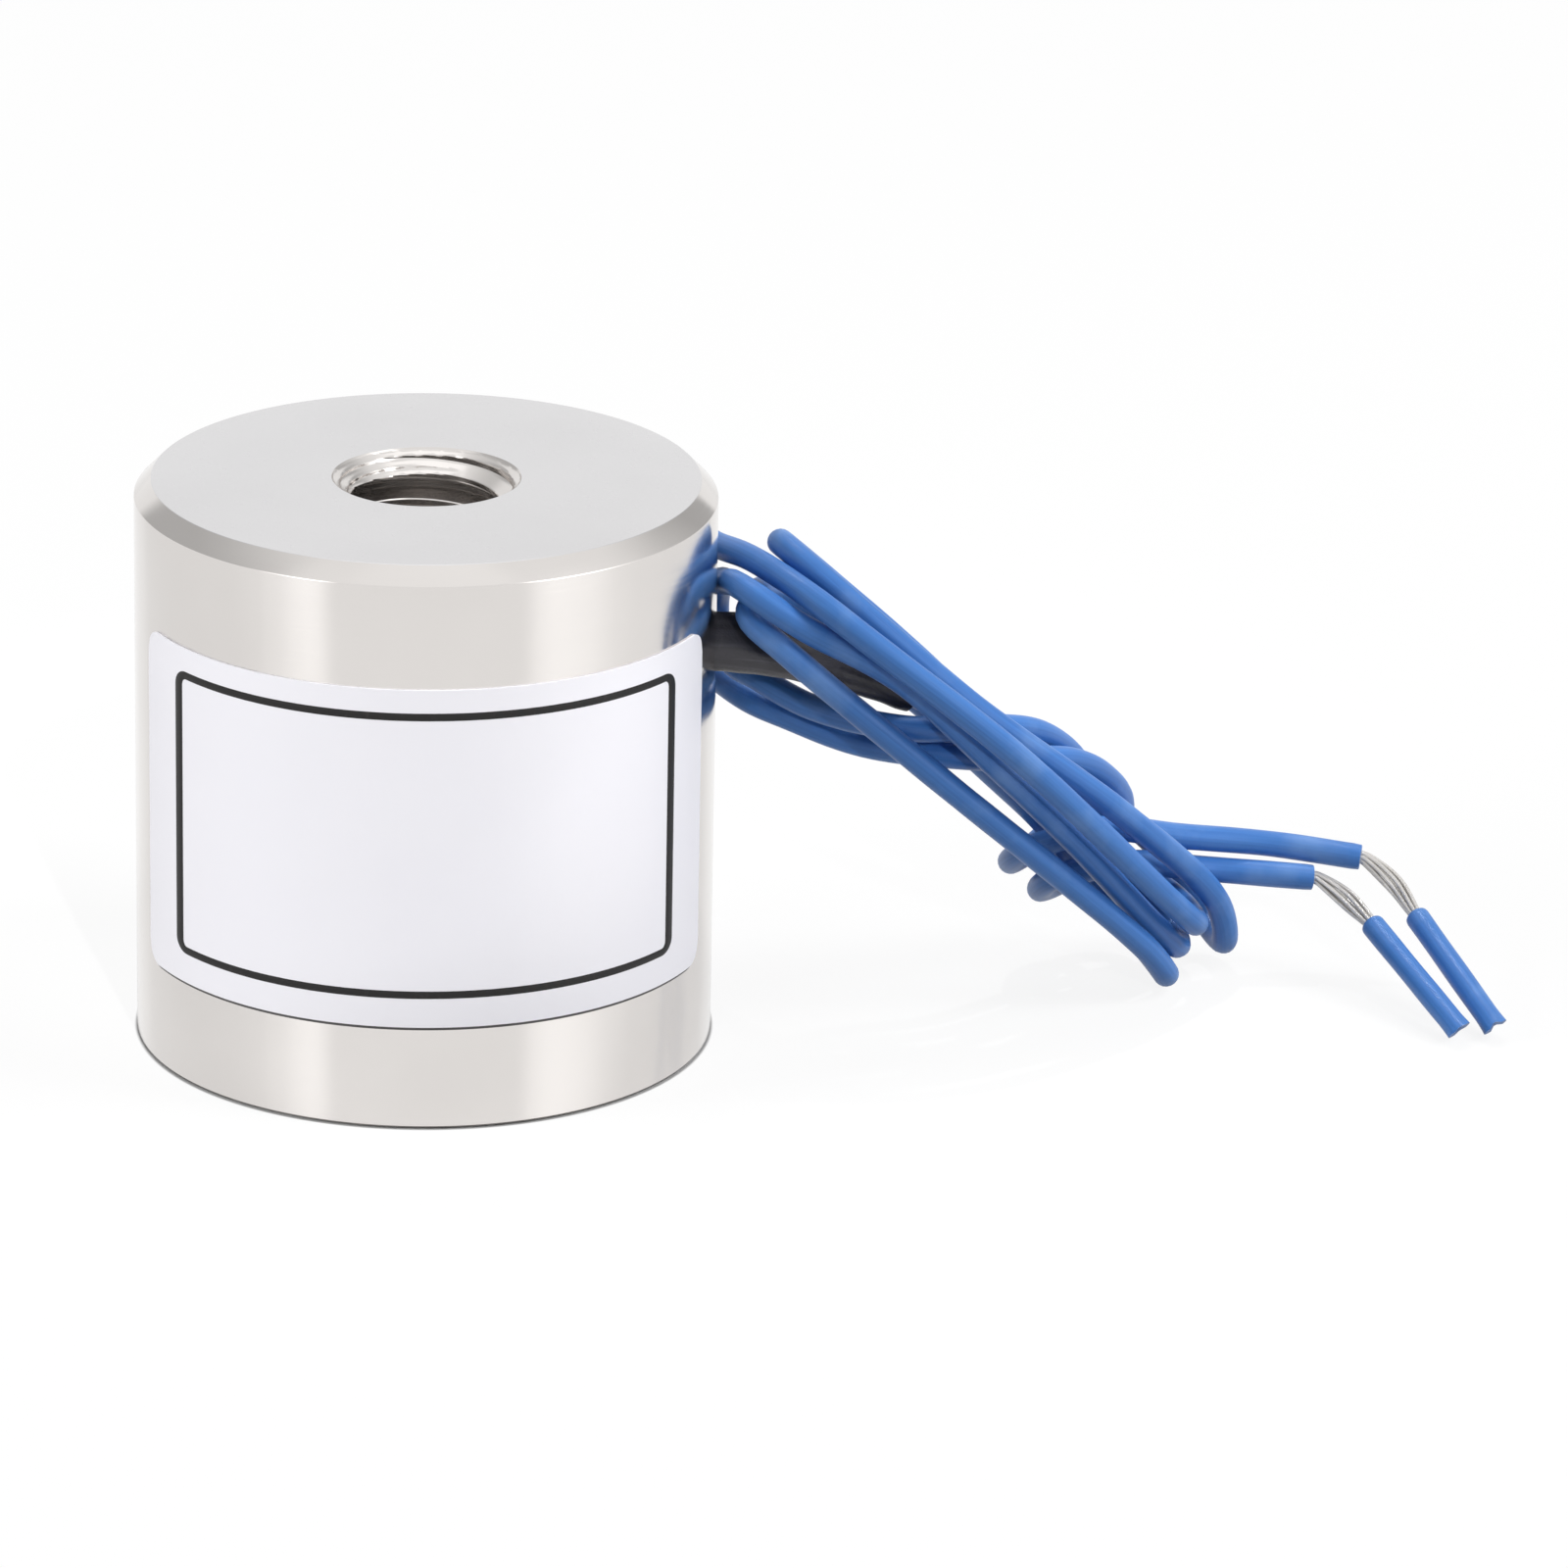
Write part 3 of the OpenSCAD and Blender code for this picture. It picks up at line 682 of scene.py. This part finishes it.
def makeNickel(name, colour, shine, lineSize, spread, smear):
    # bright nickel over cut steel: a near mirror, softened by the tool's fine lines under the plate
    material, tree = newMaterial(name)
    place = addNode(tree, "ShaderNodeTexCoord").outputs["Object"]
    flat = addNode(tree, "ShaderNodeMapping", {"Vector": place, "Scale": spread})
    lines = addNode(tree, "ShaderNodeTexNoise", {"Vector": flat, "Scale": perMm(lineSize), "Detail": 3.0})
    cloud = addNode(tree, "ShaderNodeTexNoise", {"Vector": place, "Scale": perMm(6), "Detail": 3.0})
    tone = addNode(tree, "ShaderNodeMapRange", {
        "Value": cloud.outputs[0], "From Min": 0.3, "From Max": 0.7, "To Min": 0.0, "To Max": 1.0})
    # the clouds are only four steps of 255 darker
    darker = "".join("%02X" % max(0, int(colour[i:i + 2], 16) - 4) for i in (0, 2, 4))
    base = addNode(tree, "ShaderNodeMix", {
        0: tone.outputs[0], 6: toLinear(colour), 7: toLinear(darker)}, data_type="RGBA")
    rough = addNode(tree, "ShaderNodeMapRange", {
        "Value": lines.outputs[0], "From Min": 0.3, "From Max": 0.7,
        "To Min": shine * 0.85, "To Max": shine * 1.15})
    bump = addNode(tree, "ShaderNodeBump", {
        "Height": lines.outputs[0], "Strength": 0.06, "Distance": 0.00002})
    shader = addNode(tree, "ShaderNodeBsdfPrincipled", {
        "Base Color": base.outputs[2], "Metallic": 1.0, "Roughness": rough.outputs[0], "Normal": bump,
        "Anisotropic": smear, "Anisotropic Rotation": 0.25 if smear else 0.0})
    if smear:
        lathe = addNode(tree, "ShaderNodeTangent", direction_type="RADIAL", axis="Z")
        tree.links.new(lathe.outputs[0], shader.inputs["Tangent"])
    addNode(tree, "ShaderNodeOutputMaterial", {"Surface": shader})
    return material


# turning lines are near 0.05 mm apart; drawn at 0.1 mm so that they show
turnedNickel = makeNickel("nickel_plate_on_turned_steel", pot["side"],
                          shine=0.13, lineSize=0.1, spread=(0.02, 0.02, 1), smear=0.9)
facedNickel = makeNickel("nickel_plate_on_faced_steel", pot["face"],
                         shine=0.24, lineSize=0.2, spread=(1, 1, 1), smear=0.0)
threadNickel = makeNickel("nickel_plate_on_cut_thread", pot["side"],
                          shine=0.18, lineSize=0.3, spread=(0.03, 0.03, 1), smear=0.0)


def cutLeadHole(piece, setup):
    # hole in the side wall for the sleeve
    cutter = bmesh.new()
    r, length = setup["leadHole"] * mm, setup["leadHoleLength"] * mm
    bmesh.ops.create_cone(cutter, cap_ends=True, segments=setup["leadHoleSides"],
                          radius1=r, radius2=r, depth=length)
    middle = Vector((setup["radius"] - setup["wall"] / 2, 0, setup["leadHoleHeight"]))
    turn = Matrix.Translation(middle * mm) @ Matrix.Rotation(math.pi / 2, 4, "Y")
    bmesh.ops.transform(cutter, matrix=turn, verts=cutter.verts)
    mesh = bpy.data.meshes.new("lead_hole")
    cutter.to_mesh(mesh)
    cutter.free()
    drill = bpy.data.objects.new("lead_hole", mesh)
    scene.collection.objects.link(drill)
    change = piece.modifiers.new("lead_hole", "BOOLEAN")
    change.object, change.operation, change.solver = drill, "DIFFERENCE", "EXACT"
    ready = piece.evaluated_get(bpy.context.evaluated_depsgraph_get())
    cut = bpy.data.meshes.new_from_object(ready)
    piece.modifiers.clear()
    piece.data = cut
    bpy.data.objects.remove(drill)
    bpy.data.meshes.remove(mesh)


platedPot = bpy.data.objects.new("plated_pot", makePot(pot))
scene.collection.objects.link(platedPot)
dress(platedPot, turnedNickel, facedNickel, threadNickel)
cutLeadHole(platedPot, pot)
platedPot.data.polygons.foreach_set("use_smooth", [True] * len(platedPot.data.polygons))
crease(platedPot, 24)
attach(platedPot, "root")
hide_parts("pot_body")
print("pot turned:", len(platedPot.data.polygons), "faces")


# sticker round the front, with a printed frame line
label = {
    "low": 3.72, "high": 15.8, "halfAngle": 68.9, "corner": 0.8,
    "radius": 10.08, "under": 10.005,
    "lineHalfAngle": 55.8, "lineLow": 4.9, "lineHigh": 14.85,
    "lineWidth": 0.27, "uprightWidth": 0.42, "lineCorner": 0.42,
    "inkFoot": 0.001, "inkTop": 0.009, "inkSlope": 0.012,  # how the ink stands on the film
    "columns": 150, "rows": 30,
    "white": "F2F1F6", "whiteShade": "EEEDF3",
    # grey of the film's lower edge and ends: painted shade, in two tones that change in patches
    "edge": "5E5C5C", "edgeShadeDark": "4E4C4C",
    "ink": "1C1B1B", "inkThin": "343232",
    "glueLine": 0.12,  # grey edge that shows beyond the film, below and at both ends, painted as the shade along the film's edge
    "endLift": 0.006, "liftReach": 1.2,  # how far the ends stand off in places
    "lineSteps": (90, 24), "cornerSteps": 12,  # along the long and short sides and round each corner
}


def makeLabelFilm(setup):
    # polyester label film: cool white, satin, with a slight orange peel from the glue under it
    material, tree = newMaterial("white_polyester_label_film")
    place = addNode(tree, "ShaderNodeTexCoord").outputs["Object"]
    peel = addNode(tree, "ShaderNodeTexNoise", {"Vector": place, "Scale": perMm(0.5), "Detail": 2.0})
    shade = addNode(tree, "ShaderNodeTexNoise", {"Vector": place, "Scale": perMm(5), "Detail": 3.0})
    colour = addNode(tree, "ShaderNodeMix", {
        0: shade.outputs[0], 6: toLinear(setup["white"]), 7: toLinear(setup["whiteShade"])}, data_type="RGBA")
    shine = addNode(tree, "ShaderNodeMapRange", {
        "Value": shade.outputs[0], "From Min": 0.3, "From Max": 0.7, "To Min": 0.36, "To Max": 0.46})
    bump = addNode(tree, "ShaderNodeBump", {"Height": peel.outputs[0], "Strength": 0.04, "Distance": 0.00003})
    shader = addNode(tree, "ShaderNodeBsdfPrincipled", {
        "Base Color": colour.outputs[2], "Roughness": shine.outputs[0], "IOR": 1.5, "Normal": bump})
    addNode(tree, "ShaderNodeOutputMaterial", {"Surface": shader})
    return material


def makeFilmEdgeShade(setup):
    # edge of the film: grey as painted shade along the film's edge, darker in patches
    material, tree = newMaterial("label_film_edge_painted_shade")
    place = addNode(tree, "ShaderNodeTexCoord").outputs["Object"]
    greyPatch = addNode(tree, "ShaderNodeTexNoise", {"Vector": place, "Scale": perMm(0.6), "Detail": 3.0})
    colour = addNode(tree, "ShaderNodeMix", {
        0: greyPatch.outputs[0], 6: toLinear(setup["edge"]), 7: toLinear(setup["edgeShadeDark"])}, data_type="RGBA")
    shader = addNode(tree, "ShaderNodeBsdfPrincipled", {"Base Color": colour.outputs[2], "Roughness": 0.7})
    addNode(tree, "ShaderNodeOutputMaterial", {"Surface": shader})
    return material


def makeInk(setup):
    # screen-printed ink: dense warm black, satin, thinner in specks
    material, tree = newMaterial("black_ink_screen_printed")
    place = addNode(tree, "ShaderNodeTexCoord").outputs["Object"]
    speck = addNode(tree, "ShaderNodeTexNoise", {"Vector": place, "Scale": perMm(0.25), "Detail": 3.0})
    thin = addNode(tree, "ShaderNodeMapRange", {
        "Value": speck.outputs[0], "From Min": 0.6, "From Max": 0.8, "To Min": 0.0, "To Max": 0.5})
    colour = addNode(tree, "ShaderNodeMix", {
        0: thin.outputs[0], 6: toLinear(setup["ink"]), 7: toLinear(setup["inkThin"])}, data_type="RGBA")
    bump = addNode(tree, "ShaderNodeBump", {"Height": speck.outputs[0], "Strength": 0.1, "Distance": 0.00001})
    shader = addNode(tree, "ShaderNodeBsdfPrincipled", {
        "Base Color": colour.outputs[2], "Roughness": 0.5, "Specular IOR Level": 0.3, "Normal": bump})
    addNode(tree, "ShaderNodeOutputMaterial", {"Surface": shader})
    return material


labelFilm, filmEdgeShade, blackInk = makeLabelFilm(label), makeFilmEdgeShade(label), makeInk(label)


def onPot(angle, z, radius):
    # a point on the label, angle in radians from the front
    return (radius * math.sin(angle), -radius * math.cos(angle), z)


def makeLabel(setup):
    # the film with round corners, standing off the body by the glue, its edge sloping out to the glue line
    radius, corner, glue = setup["radius"], setup["corner"], setup["glueLine"]
    half = math.radians(setup["halfAngle"]) * radius  # half width along the film
    columns, rows = setup["columns"], setup["rows"]
    share = np.linspace(-1, 1, columns + 1)
    # columns a little closer in the middle and at the ends
    spread = 0.82 * share + 0.18 * np.sin(share * math.pi / 2) ** 5
    across = half * spread / spread[-1]
    nearEnd = np.linspace(0, corner, 9)
    between = across[np.abs(across) < half - corner]
    across = np.unique(np.round(np.concatenate([between, -half + nearEnd, half - nearEnd]), 5))
    top, bottom = [], []
    for a in across:
        e = half - abs(a)
        cut = corner - math.sqrt(max(0, corner ** 2 - (corner - e) ** 2)) if e < corner else 0
        for k in range(rows + 1):
            z = setup["low"] + cut + (setup["high"] - setup["low"] - 2 * cut) * k / rows
            near = math.exp(-((e / setup["liftReach"]) ** 2))
            lift = setup["endLift"] * near * (0.5 + 0.5 * math.cos(k * 0.7))
            top.append(onPot(a / radius, z, radius + lift))
            reach = a + math.copysign(glue, a) * (1 if e < 1e-6 else 0)
            bottom.append(onPot(reach / radius, z - glue * (1 if k == 0 else 0), setup["under"]))
    count, span = len(across), rows + 1
    points = top + bottom
    shift = len(top)
    faces, tones = [], []
    # the top faces take the film; the underside, the lower edge and both ends take the grey of painted shade
    for i in range(count - 1):
        for k in range(rows):
            a, b = i * span + k, (i + 1) * span + k
            faces += [(a, b, b + 1, a + 1), (shift + a, shift + a + 1, shift + b + 1, shift + b)]
            tones += [0, 1]
    for i in range(count - 1):
        for k in (0, rows):
            a, b = i * span + k, (i + 1) * span + k
            faces.append((a, shift + a, shift + b, b) if k == 0 else (a, b, shift + b, shift + a))
            tones.append(1 if k == 0 else 0)
    for i in (0, count - 1):
        for k in range(rows):
            a = i * span + k
            side = (a, a + 1, shift + a + 1, shift + a)
            faces.append(side if i == 0 else (a, shift + a, shift + a + 1, a + 1))
            tones.append(1)
    piece = newPiece("blank_label", points, faces, [labelFilm, filmEdgeShade], None, tones)
    crease(piece, 15)
    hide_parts("label")


def makeFrameLine(setup):
    # printed line as a thin skin of ink on the film
    radius, c = setup["radius"], setup["lineCorner"]
    right = math.radians(setup["lineHalfAngle"]) * radius - c
    low, high = setup["lineLow"] + c, setup["lineHigh"] - c
    stations = []  # point on the middle of the line and its outward direction
    corners = [(right, high, 0), (-right, high, 90), (-right, low, 180), (right, low, 270)]
    for i, (x, z, start) in enumerate(corners):
        for k in range(setup["cornerSteps"] + 1):
            t = math.radians(start + 90 * k / setup["cornerSteps"])
            stations.append((x + c * math.cos(t), z + c * math.sin(t), math.cos(t), math.sin(t)))
        nx, nz, _ = corners[(i + 1) % 4]
        t = math.radians(start + 90)
        x0, z0 = x + c * math.cos(t), z + c * math.sin(t)
        x1, z1 = nx + c * math.cos(t), nz + c * math.sin(t)
        steps = setup["lineSteps"][i % 2]
        for k in range(1, steps):
            f = k / steps
            stations.append((x0 + (x1 - x0) * f, z0 + (z1 - z0) * f, math.cos(t), math.sin(t)))
    points = []
    for x, z, ox, oz in stations:
        w = (setup["lineWidth"] + (setup["uprightWidth"] - setup["lineWidth"]) * ox * ox) / 2
        flat, foot, rise = w - setup["inkSlope"], setup["inkFoot"], setup["inkTop"]
        for out, height in ((w, foot), (flat, rise), (-flat, rise), (-w, foot)):
            points.append(onPot((x + out * ox) / radius, z + out * oz, radius + height))
    count = len(stations)
    faces = []
    for i in range(count):
        a, b = 4 * i, 4 * ((i + 1) % count)
        faces += [(a + k, a + k + 1, b + k + 1, b + k) for k in range(3)]
        faces.append((a + 3, a, b, b + 3))
    piece = newPiece("label_frame_line", points, faces, [blackInk])


makeLabel(label)
makeFrameLine(label)
print("label laid on")


# pieces that are sealed inside keep their solids
inner = [  # material, its two tones, share of metal, roughness, size of the patches in mm, pieces
    # moulded nylon: warm white and matt
    ("white_nylon_moulded", "EDE8DA", "E2DCCB", 0, 0.45, 0.8, ["bobbin"]),
    # enamelled wire wound close: bright orange brown, finely broken up
    ("enamelled_copper_wound", "B8672F", "8E4A1F", 1, 0.3, 0.25,
     ["coil_winding", "coil_start_wire", "coil_finish_wire"]),
    # polyester tape: clear yellow with a soft shine
    ("polyester_tape_wound", "E3C24C", "D5B03A", 0, 0.3, 1.5, ["coil_tape"]),
    # solder that has flowed: bright grey, a little cloudy
    ("tin_solder_flowed", "C9C8C8", "AEADAE", 1, 0.3, 0.4, ["splice_a", "splice_b"]),
    # small heat-shrink: dull black
    ("black_polyolefin_shrunk_small", "2B2A2A", "383636", 0, 0.55, 0.2,
     ["splice_sleeve_a", "splice_sleeve_b"]),
    # cast epoxy: deep black and smooth
    ("black_epoxy_cast", "222224", "2E2E31", 0, 0.3, 0.9, ["lead_bead", "potting_ring"]),
]


def makeInner(name, light, dark, metal, shine, size):
    # two tones in soft patches, the same patches in the shine, and a faint relief
    material, tree = newMaterial(name)
    place = addNode(tree, "ShaderNodeTexCoord").outputs["Object"]
    patches = addNode(tree, "ShaderNodeTexNoise", {"Vector": place, "Scale": perMm(size), "Detail": 4.0})
    colour = addNode(tree, "ShaderNodeMix", {
        0: patches.outputs[0], 6: toLinear(light), 7: toLinear(dark)}, data_type="RGBA")
    rough = addNode(tree, "ShaderNodeMapRange", {
        "Value": patches.outputs[0], "From Min": 0.3, "From Max": 0.7,
        "To Min": shine - 0.06, "To Max": shine + 0.08})
    bump = addNode(tree, "ShaderNodeBump", {
        "Height": patches.outputs[0], "Strength": 0.15, "Distance": 0.00004})
    shader = addNode(tree, "ShaderNodeBsdfPrincipled", {
        "Base Color": colour.outputs[2], "Metallic": metal, "Roughness": rough.outputs[0], "Normal": bump})
    addNode(tree, "ShaderNodeOutputMaterial", {"Surface": shader})
    return material


for *finish, nodes in inner:
    material = makeInner(*finish)
    for node in nodes:
        dress(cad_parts[node], material)
print("inner pieces dressed")


# white table and soft studio light
studio = {
    "tableSize": 6.0,  # metres
    "tableDrop": 2e-5,  # metres below the body, so that they don't share a plane
    "tableWhite": "F5F5F5",
    "tableBounce": "9A9A9A",  # what the table sends back to the object as soft light
    "paintedShadeNear": 0.9,  # share of its glow that the metal sees near the body: painted shade round the body in the table's reflection
    "closeRange": (11, 60),  # mm from the axis where that begins and ends
    "paintedGapShade": "A0A0A0",  # painted shade: the table is grey under the body, where little light gets
    "gapEdge": (10.0, 10.1),  # mm from the axis where that ends
    "tableGlow": 0.88,  # share of plain white that the eye and the metal see
    "tableGloss": 0.12,  # share of mirror that the metal sees in the table
    "roomWhite": 1.0,
    "roomLight": 0.23,
    "lampDistance": 600, "lampAim": (0, 0, 10),
    "lamps": [  # name, degrees to the right of the camera, height angle, width and height mm, watts
        ("left_lamp", -75, 25, 220, 300, 2.3),
        ("right_lamp", 75, 45, 220, 300, 2.35),
        ("top_lamp", 180, 72, 340, 300, 0.7),
    ],
    # name, degrees to the right, height angle, aim mm, cone degrees, soft edge, size mm, watts,
    # and whether shiny surfaces show it
    "snoots": [
        ("label_snoot", 12, 38, (-4, 0, 10), 2.9, 0.25, 5, 7.2, False),
        ("hank_snoot", 15, 25, (24, 0, 6), 3.6, 0.6, 10, 3.4, False),
        ("hank_shine", 180, 72, (24, 2, 8), 2.6, 0.6, 8, 4.6, True),
    ],
    "cardDistance": 500, "cardGrid": (49, 33),
    # name, what the metal sees by degrees to the right of the camera, and how much of it by height angle
    "cards": [
        ("left_card", {-86: 1, -70: 1.15, -59: 1.6, -52: 2.6, -46: 3.1, -41: 2.6, -38: 1.6, -35: 1},
         {-2: 1, 28: 1, 40: 0}),
        ("right_card", {37: 1, 40: 1.4, 44: 2.4, 50: 3.1, 57: 3.1, 68: 2.6, 78: 1.6, 90: 1},
         {-2: 1, 34: 1, 46: 0.2, 56: 0}),
        ("top_card", {100: 1, 130: 1.4, 230: 1.4, 260: 1},
         {58: 0, 66: 1, 90: 1}),
        ("brow_card", {-62: 1, -40: 1.07, 46: 1.1, 62: 1},
         {56: 0, 62: 1, 90: 1}),
        ("left_flag", {-147: 1, -141: 0.55, -110: 0.55, -80: 0.6, -66: 1},
         {6: 0, 9: 1, 36: 1, 44: 0.85, 56: 0.5, 68: 0}),
        ("right_flag", {96: 1, 108: 0.82, 122: 0.66, 136: 0.5, 148: 0.5, 151: 1},
         {6: 0, 9: 1, 36: 1, 44: 0.6, 52: 0}),
    ],
    "flagStep": 20,  # the grey flags hang this much nearer than the cards
}


def seenDirectly(tree):
    # 1 for what the eye, metal and glass see, 0 for soft light, and then metal's share alone
    path = addNode(tree, "ShaderNodeLightPath")
    seen = addNode(tree, "ShaderNodeMath", {
        0: path.outputs["Is Camera Ray"], 1: path.outputs["Is Glossy Ray"]}, operation="MAXIMUM")
    seen = addNode(tree, "ShaderNodeMath", {
        0: seen, 1: path.outputs["Is Transmission Ray"]}, operation="MAXIMUM")
    return seen, path.outputs["Is Glossy Ray"]


def makeTable(setup):
    # white acrylic sheet: plain white to the eye, with a faint mirror that only the metal shows
    half = setup["tableSize"] / 2
    mesh = bpy.data.meshes.new("white_table")
    corners = [(-half, -half), (half, -half), (half, half), (-half, half)]
    mesh.from_pydata([(x, y, -setup["tableDrop"]) for x, y in corners], [], [(0, 1, 2, 3)])
    table = bpy.data.objects.new("white_table", mesh)
    scene.collection.objects.link(table)
    material, tree = newMaterial("white_acrylic_sheet")
    seen, glossy = seenDirectly(tree)
    colour = addNode(tree, "ShaderNodeMix", {
        0: seen, 6: toLinear(setup["tableBounce"]), 7: toLinear(setup["tableWhite"])}, data_type="RGBA")
    plain = addNode(tree, "ShaderNodeBsdfDiffuse", {"Color": colour.outputs[2]})
    white = addNode(tree, "ShaderNodeEmission", {"Color": (1, 1, 1, 1), "Strength": 1.0})
    place = addNode(tree, "ShaderNodeTexCoord").outputs["Object"]
    fromAxis = addNode(tree, "ShaderNodeVectorMath", {0: place}, operation="LENGTH").outputs["Value"]
    # painted shade: near the body the metal sees less of the table's glow
    start, end = setup["closeRange"]
    close = addNode(tree, "ShaderNodeMapRange", {
        "Value": fromAxis, "From Min": start * mm, "From Max": end * mm,
        "To Min": setup["paintedShadeNear"], "To Max": 1.0})
    farGlow = addNode(tree, "ShaderNodeMath", {0: close, 1: setup["tableGlow"]}, operation="MULTIPLY")
    dim = addNode(tree, "ShaderNodeMapRange", {
        "Value": glossy, "To Min": setup["tableGlow"], "To Max": farGlow})
    glow = addNode(tree, "ShaderNodeMath", {0: seen, 1: dim.outputs[0]}, operation="MULTIPLY")
    lit = addNode(tree, "ShaderNodeMixShader", {0: glow, 1: plain, 2: white})
    # painted shade: plain grey table under the body
    start, end = setup["gapEdge"]
    clear = addNode(tree, "ShaderNodeMapRange", {
        "Value": fromAxis, "From Min": start * mm, "From Max": end * mm})
    gap = addNode(tree, "ShaderNodeBsdfDiffuse", {"Color": toLinear(setup["paintedGapShade"])})
    lit = addNode(tree, "ShaderNodeMixShader", {0: clear.outputs[0], 1: gap, 2: lit})
    mirror = addNode(tree, "ShaderNodeBsdfGlossy", {"Color": (1, 1, 1, 1), "Roughness": 0.08})
    shine = addNode(tree, "ShaderNodeMath", {0: glossy, 1: setup["tableGloss"]}, operation="MULTIPLY")
    both = addNode(tree, "ShaderNodeMixShader", {0: shine, 1: lit, 2: mirror})
    addNode(tree, "ShaderNodeOutputMaterial", {"Surface": both})
    dress(table, material)


def makeRoom(setup):
    # plain white to the eye and to metal, and a low soft light
    world = bpy.data.worlds.new("white_room")
    scene.world = world
    world.use_nodes = True
    tree = world.node_tree
    tree.nodes.clear()
    seen, _ = seenDirectly(tree)
    strength = addNode(tree, "ShaderNodeMapRange", {
        "Value": seen, "To Min": setup["roomLight"], "To Max": setup["roomWhite"]})
    room = addNode(tree, "ShaderNodeBackground", {"Color": (1, 1, 1, 1), "Strength": strength})
    addNode(tree, "ShaderNodeOutputWorld", {"Surface": room})


def around(degrees, rise, distance):
    # a place round the object, degrees to the right of the camera
    a, h = math.radians(degrees), math.radians(rise)
    return Vector((math.sin(a) * math.cos(h), -math.cos(a) * math.cos(h), math.sin(h))) * distance * mm


def hangLamp(name, data, place, aim, shows):
    # a lamp turned to its aim
    lamp = bpy.data.objects.new(name, data)
    turn = (Vector(aim) * mm - place).to_track_quat("-Z", "Y").to_matrix().to_4x4()
    lamp.matrix_world = Matrix.Translation(place) @ turn
    lamp.visible_glossy = shows
    scene.collection.objects.link(lamp)


def makeLights(setup):
    for name, degrees, rise, width, height, watts in setup["lamps"]:
        data = bpy.data.lights.new(name, "AREA")
        data.shape, data.size, data.size_y, data.energy = "RECTANGLE", width * mm, height * mm, watts
        hangLamp(name, data, around(degrees, rise, setup["lampDistance"]), setup["lampAim"], False)
    for name, degrees, rise, aim, cone, soft, size, watts, shows in setup["snoots"]:
        data = bpy.data.lights.new(name, "SPOT")
        data.spot_size, data.spot_blend = math.radians(cone), soft
        data.shadow_soft_size, data.energy = size * mm, watts
        hangLamp(name, data, around(degrees, rise, setup["lampDistance"]), aim, shows)


def makeCard(name, sideways, upwards, setup):
    # curved card that only shiny surfaces see, its brightness faded to plain white at the edges
    distance = setup["cardDistance"] - (setup["flagStep"] if "flag" in name else 0)
    acrossCount, upCount = setup["cardGrid"]
    wide = np.linspace(min(sideways), max(sideways), acrossCount)
    tall = np.linspace(min(upwards), max(upwards), upCount)
    glow = np.interp(wide, sorted(sideways), [sideways[k] for k in sorted(sideways)])
    share = np.interp(tall, sorted(upwards), [upwards[k] for k in sorted(upwards)])
    points = [around(a, h, distance) for h in tall for a in wide]
    n = len(wide)
    faces = [(i * n + k, i * n + k + 1, (i + 1) * n + k + 1, (i + 1) * n + k)
             for i in range(len(tall) - 1) for k in range(n - 1)]
    mesh = bpy.data.meshes.new(name)
    mesh.from_pydata(points, [], faces)
    strength = mesh.attributes.new("strength", "FLOAT", "POINT")
    strength.data.foreach_set("value", (1 + share[:, None] * (glow - 1)[None]).ravel())
    card = bpy.data.objects.new(name, mesh)
    scene.collection.objects.link(card)
    material, tree = newMaterial(name + "_cloth")
    material.cycles.emission_sampling = "NONE"
    faded = addNode(tree, "ShaderNodeAttribute", attribute_name="strength")
    cloth = addNode(tree, "ShaderNodeEmission", {"Color": (1, 1, 1, 1), "Strength": faded.outputs["Fac"]})
    addNode(tree, "ShaderNodeOutputMaterial", {"Surface": cloth})
    dress(card, material)
    card.visible_camera = card.visible_diffuse = card.visible_shadow = False


makeTable(studio)
makeRoom(studio)
makeLights(studio)
for name, sideways, upwards in studio["cards"]:
    makeCard(name, sideways, upwards, studio)
print("studio lit")
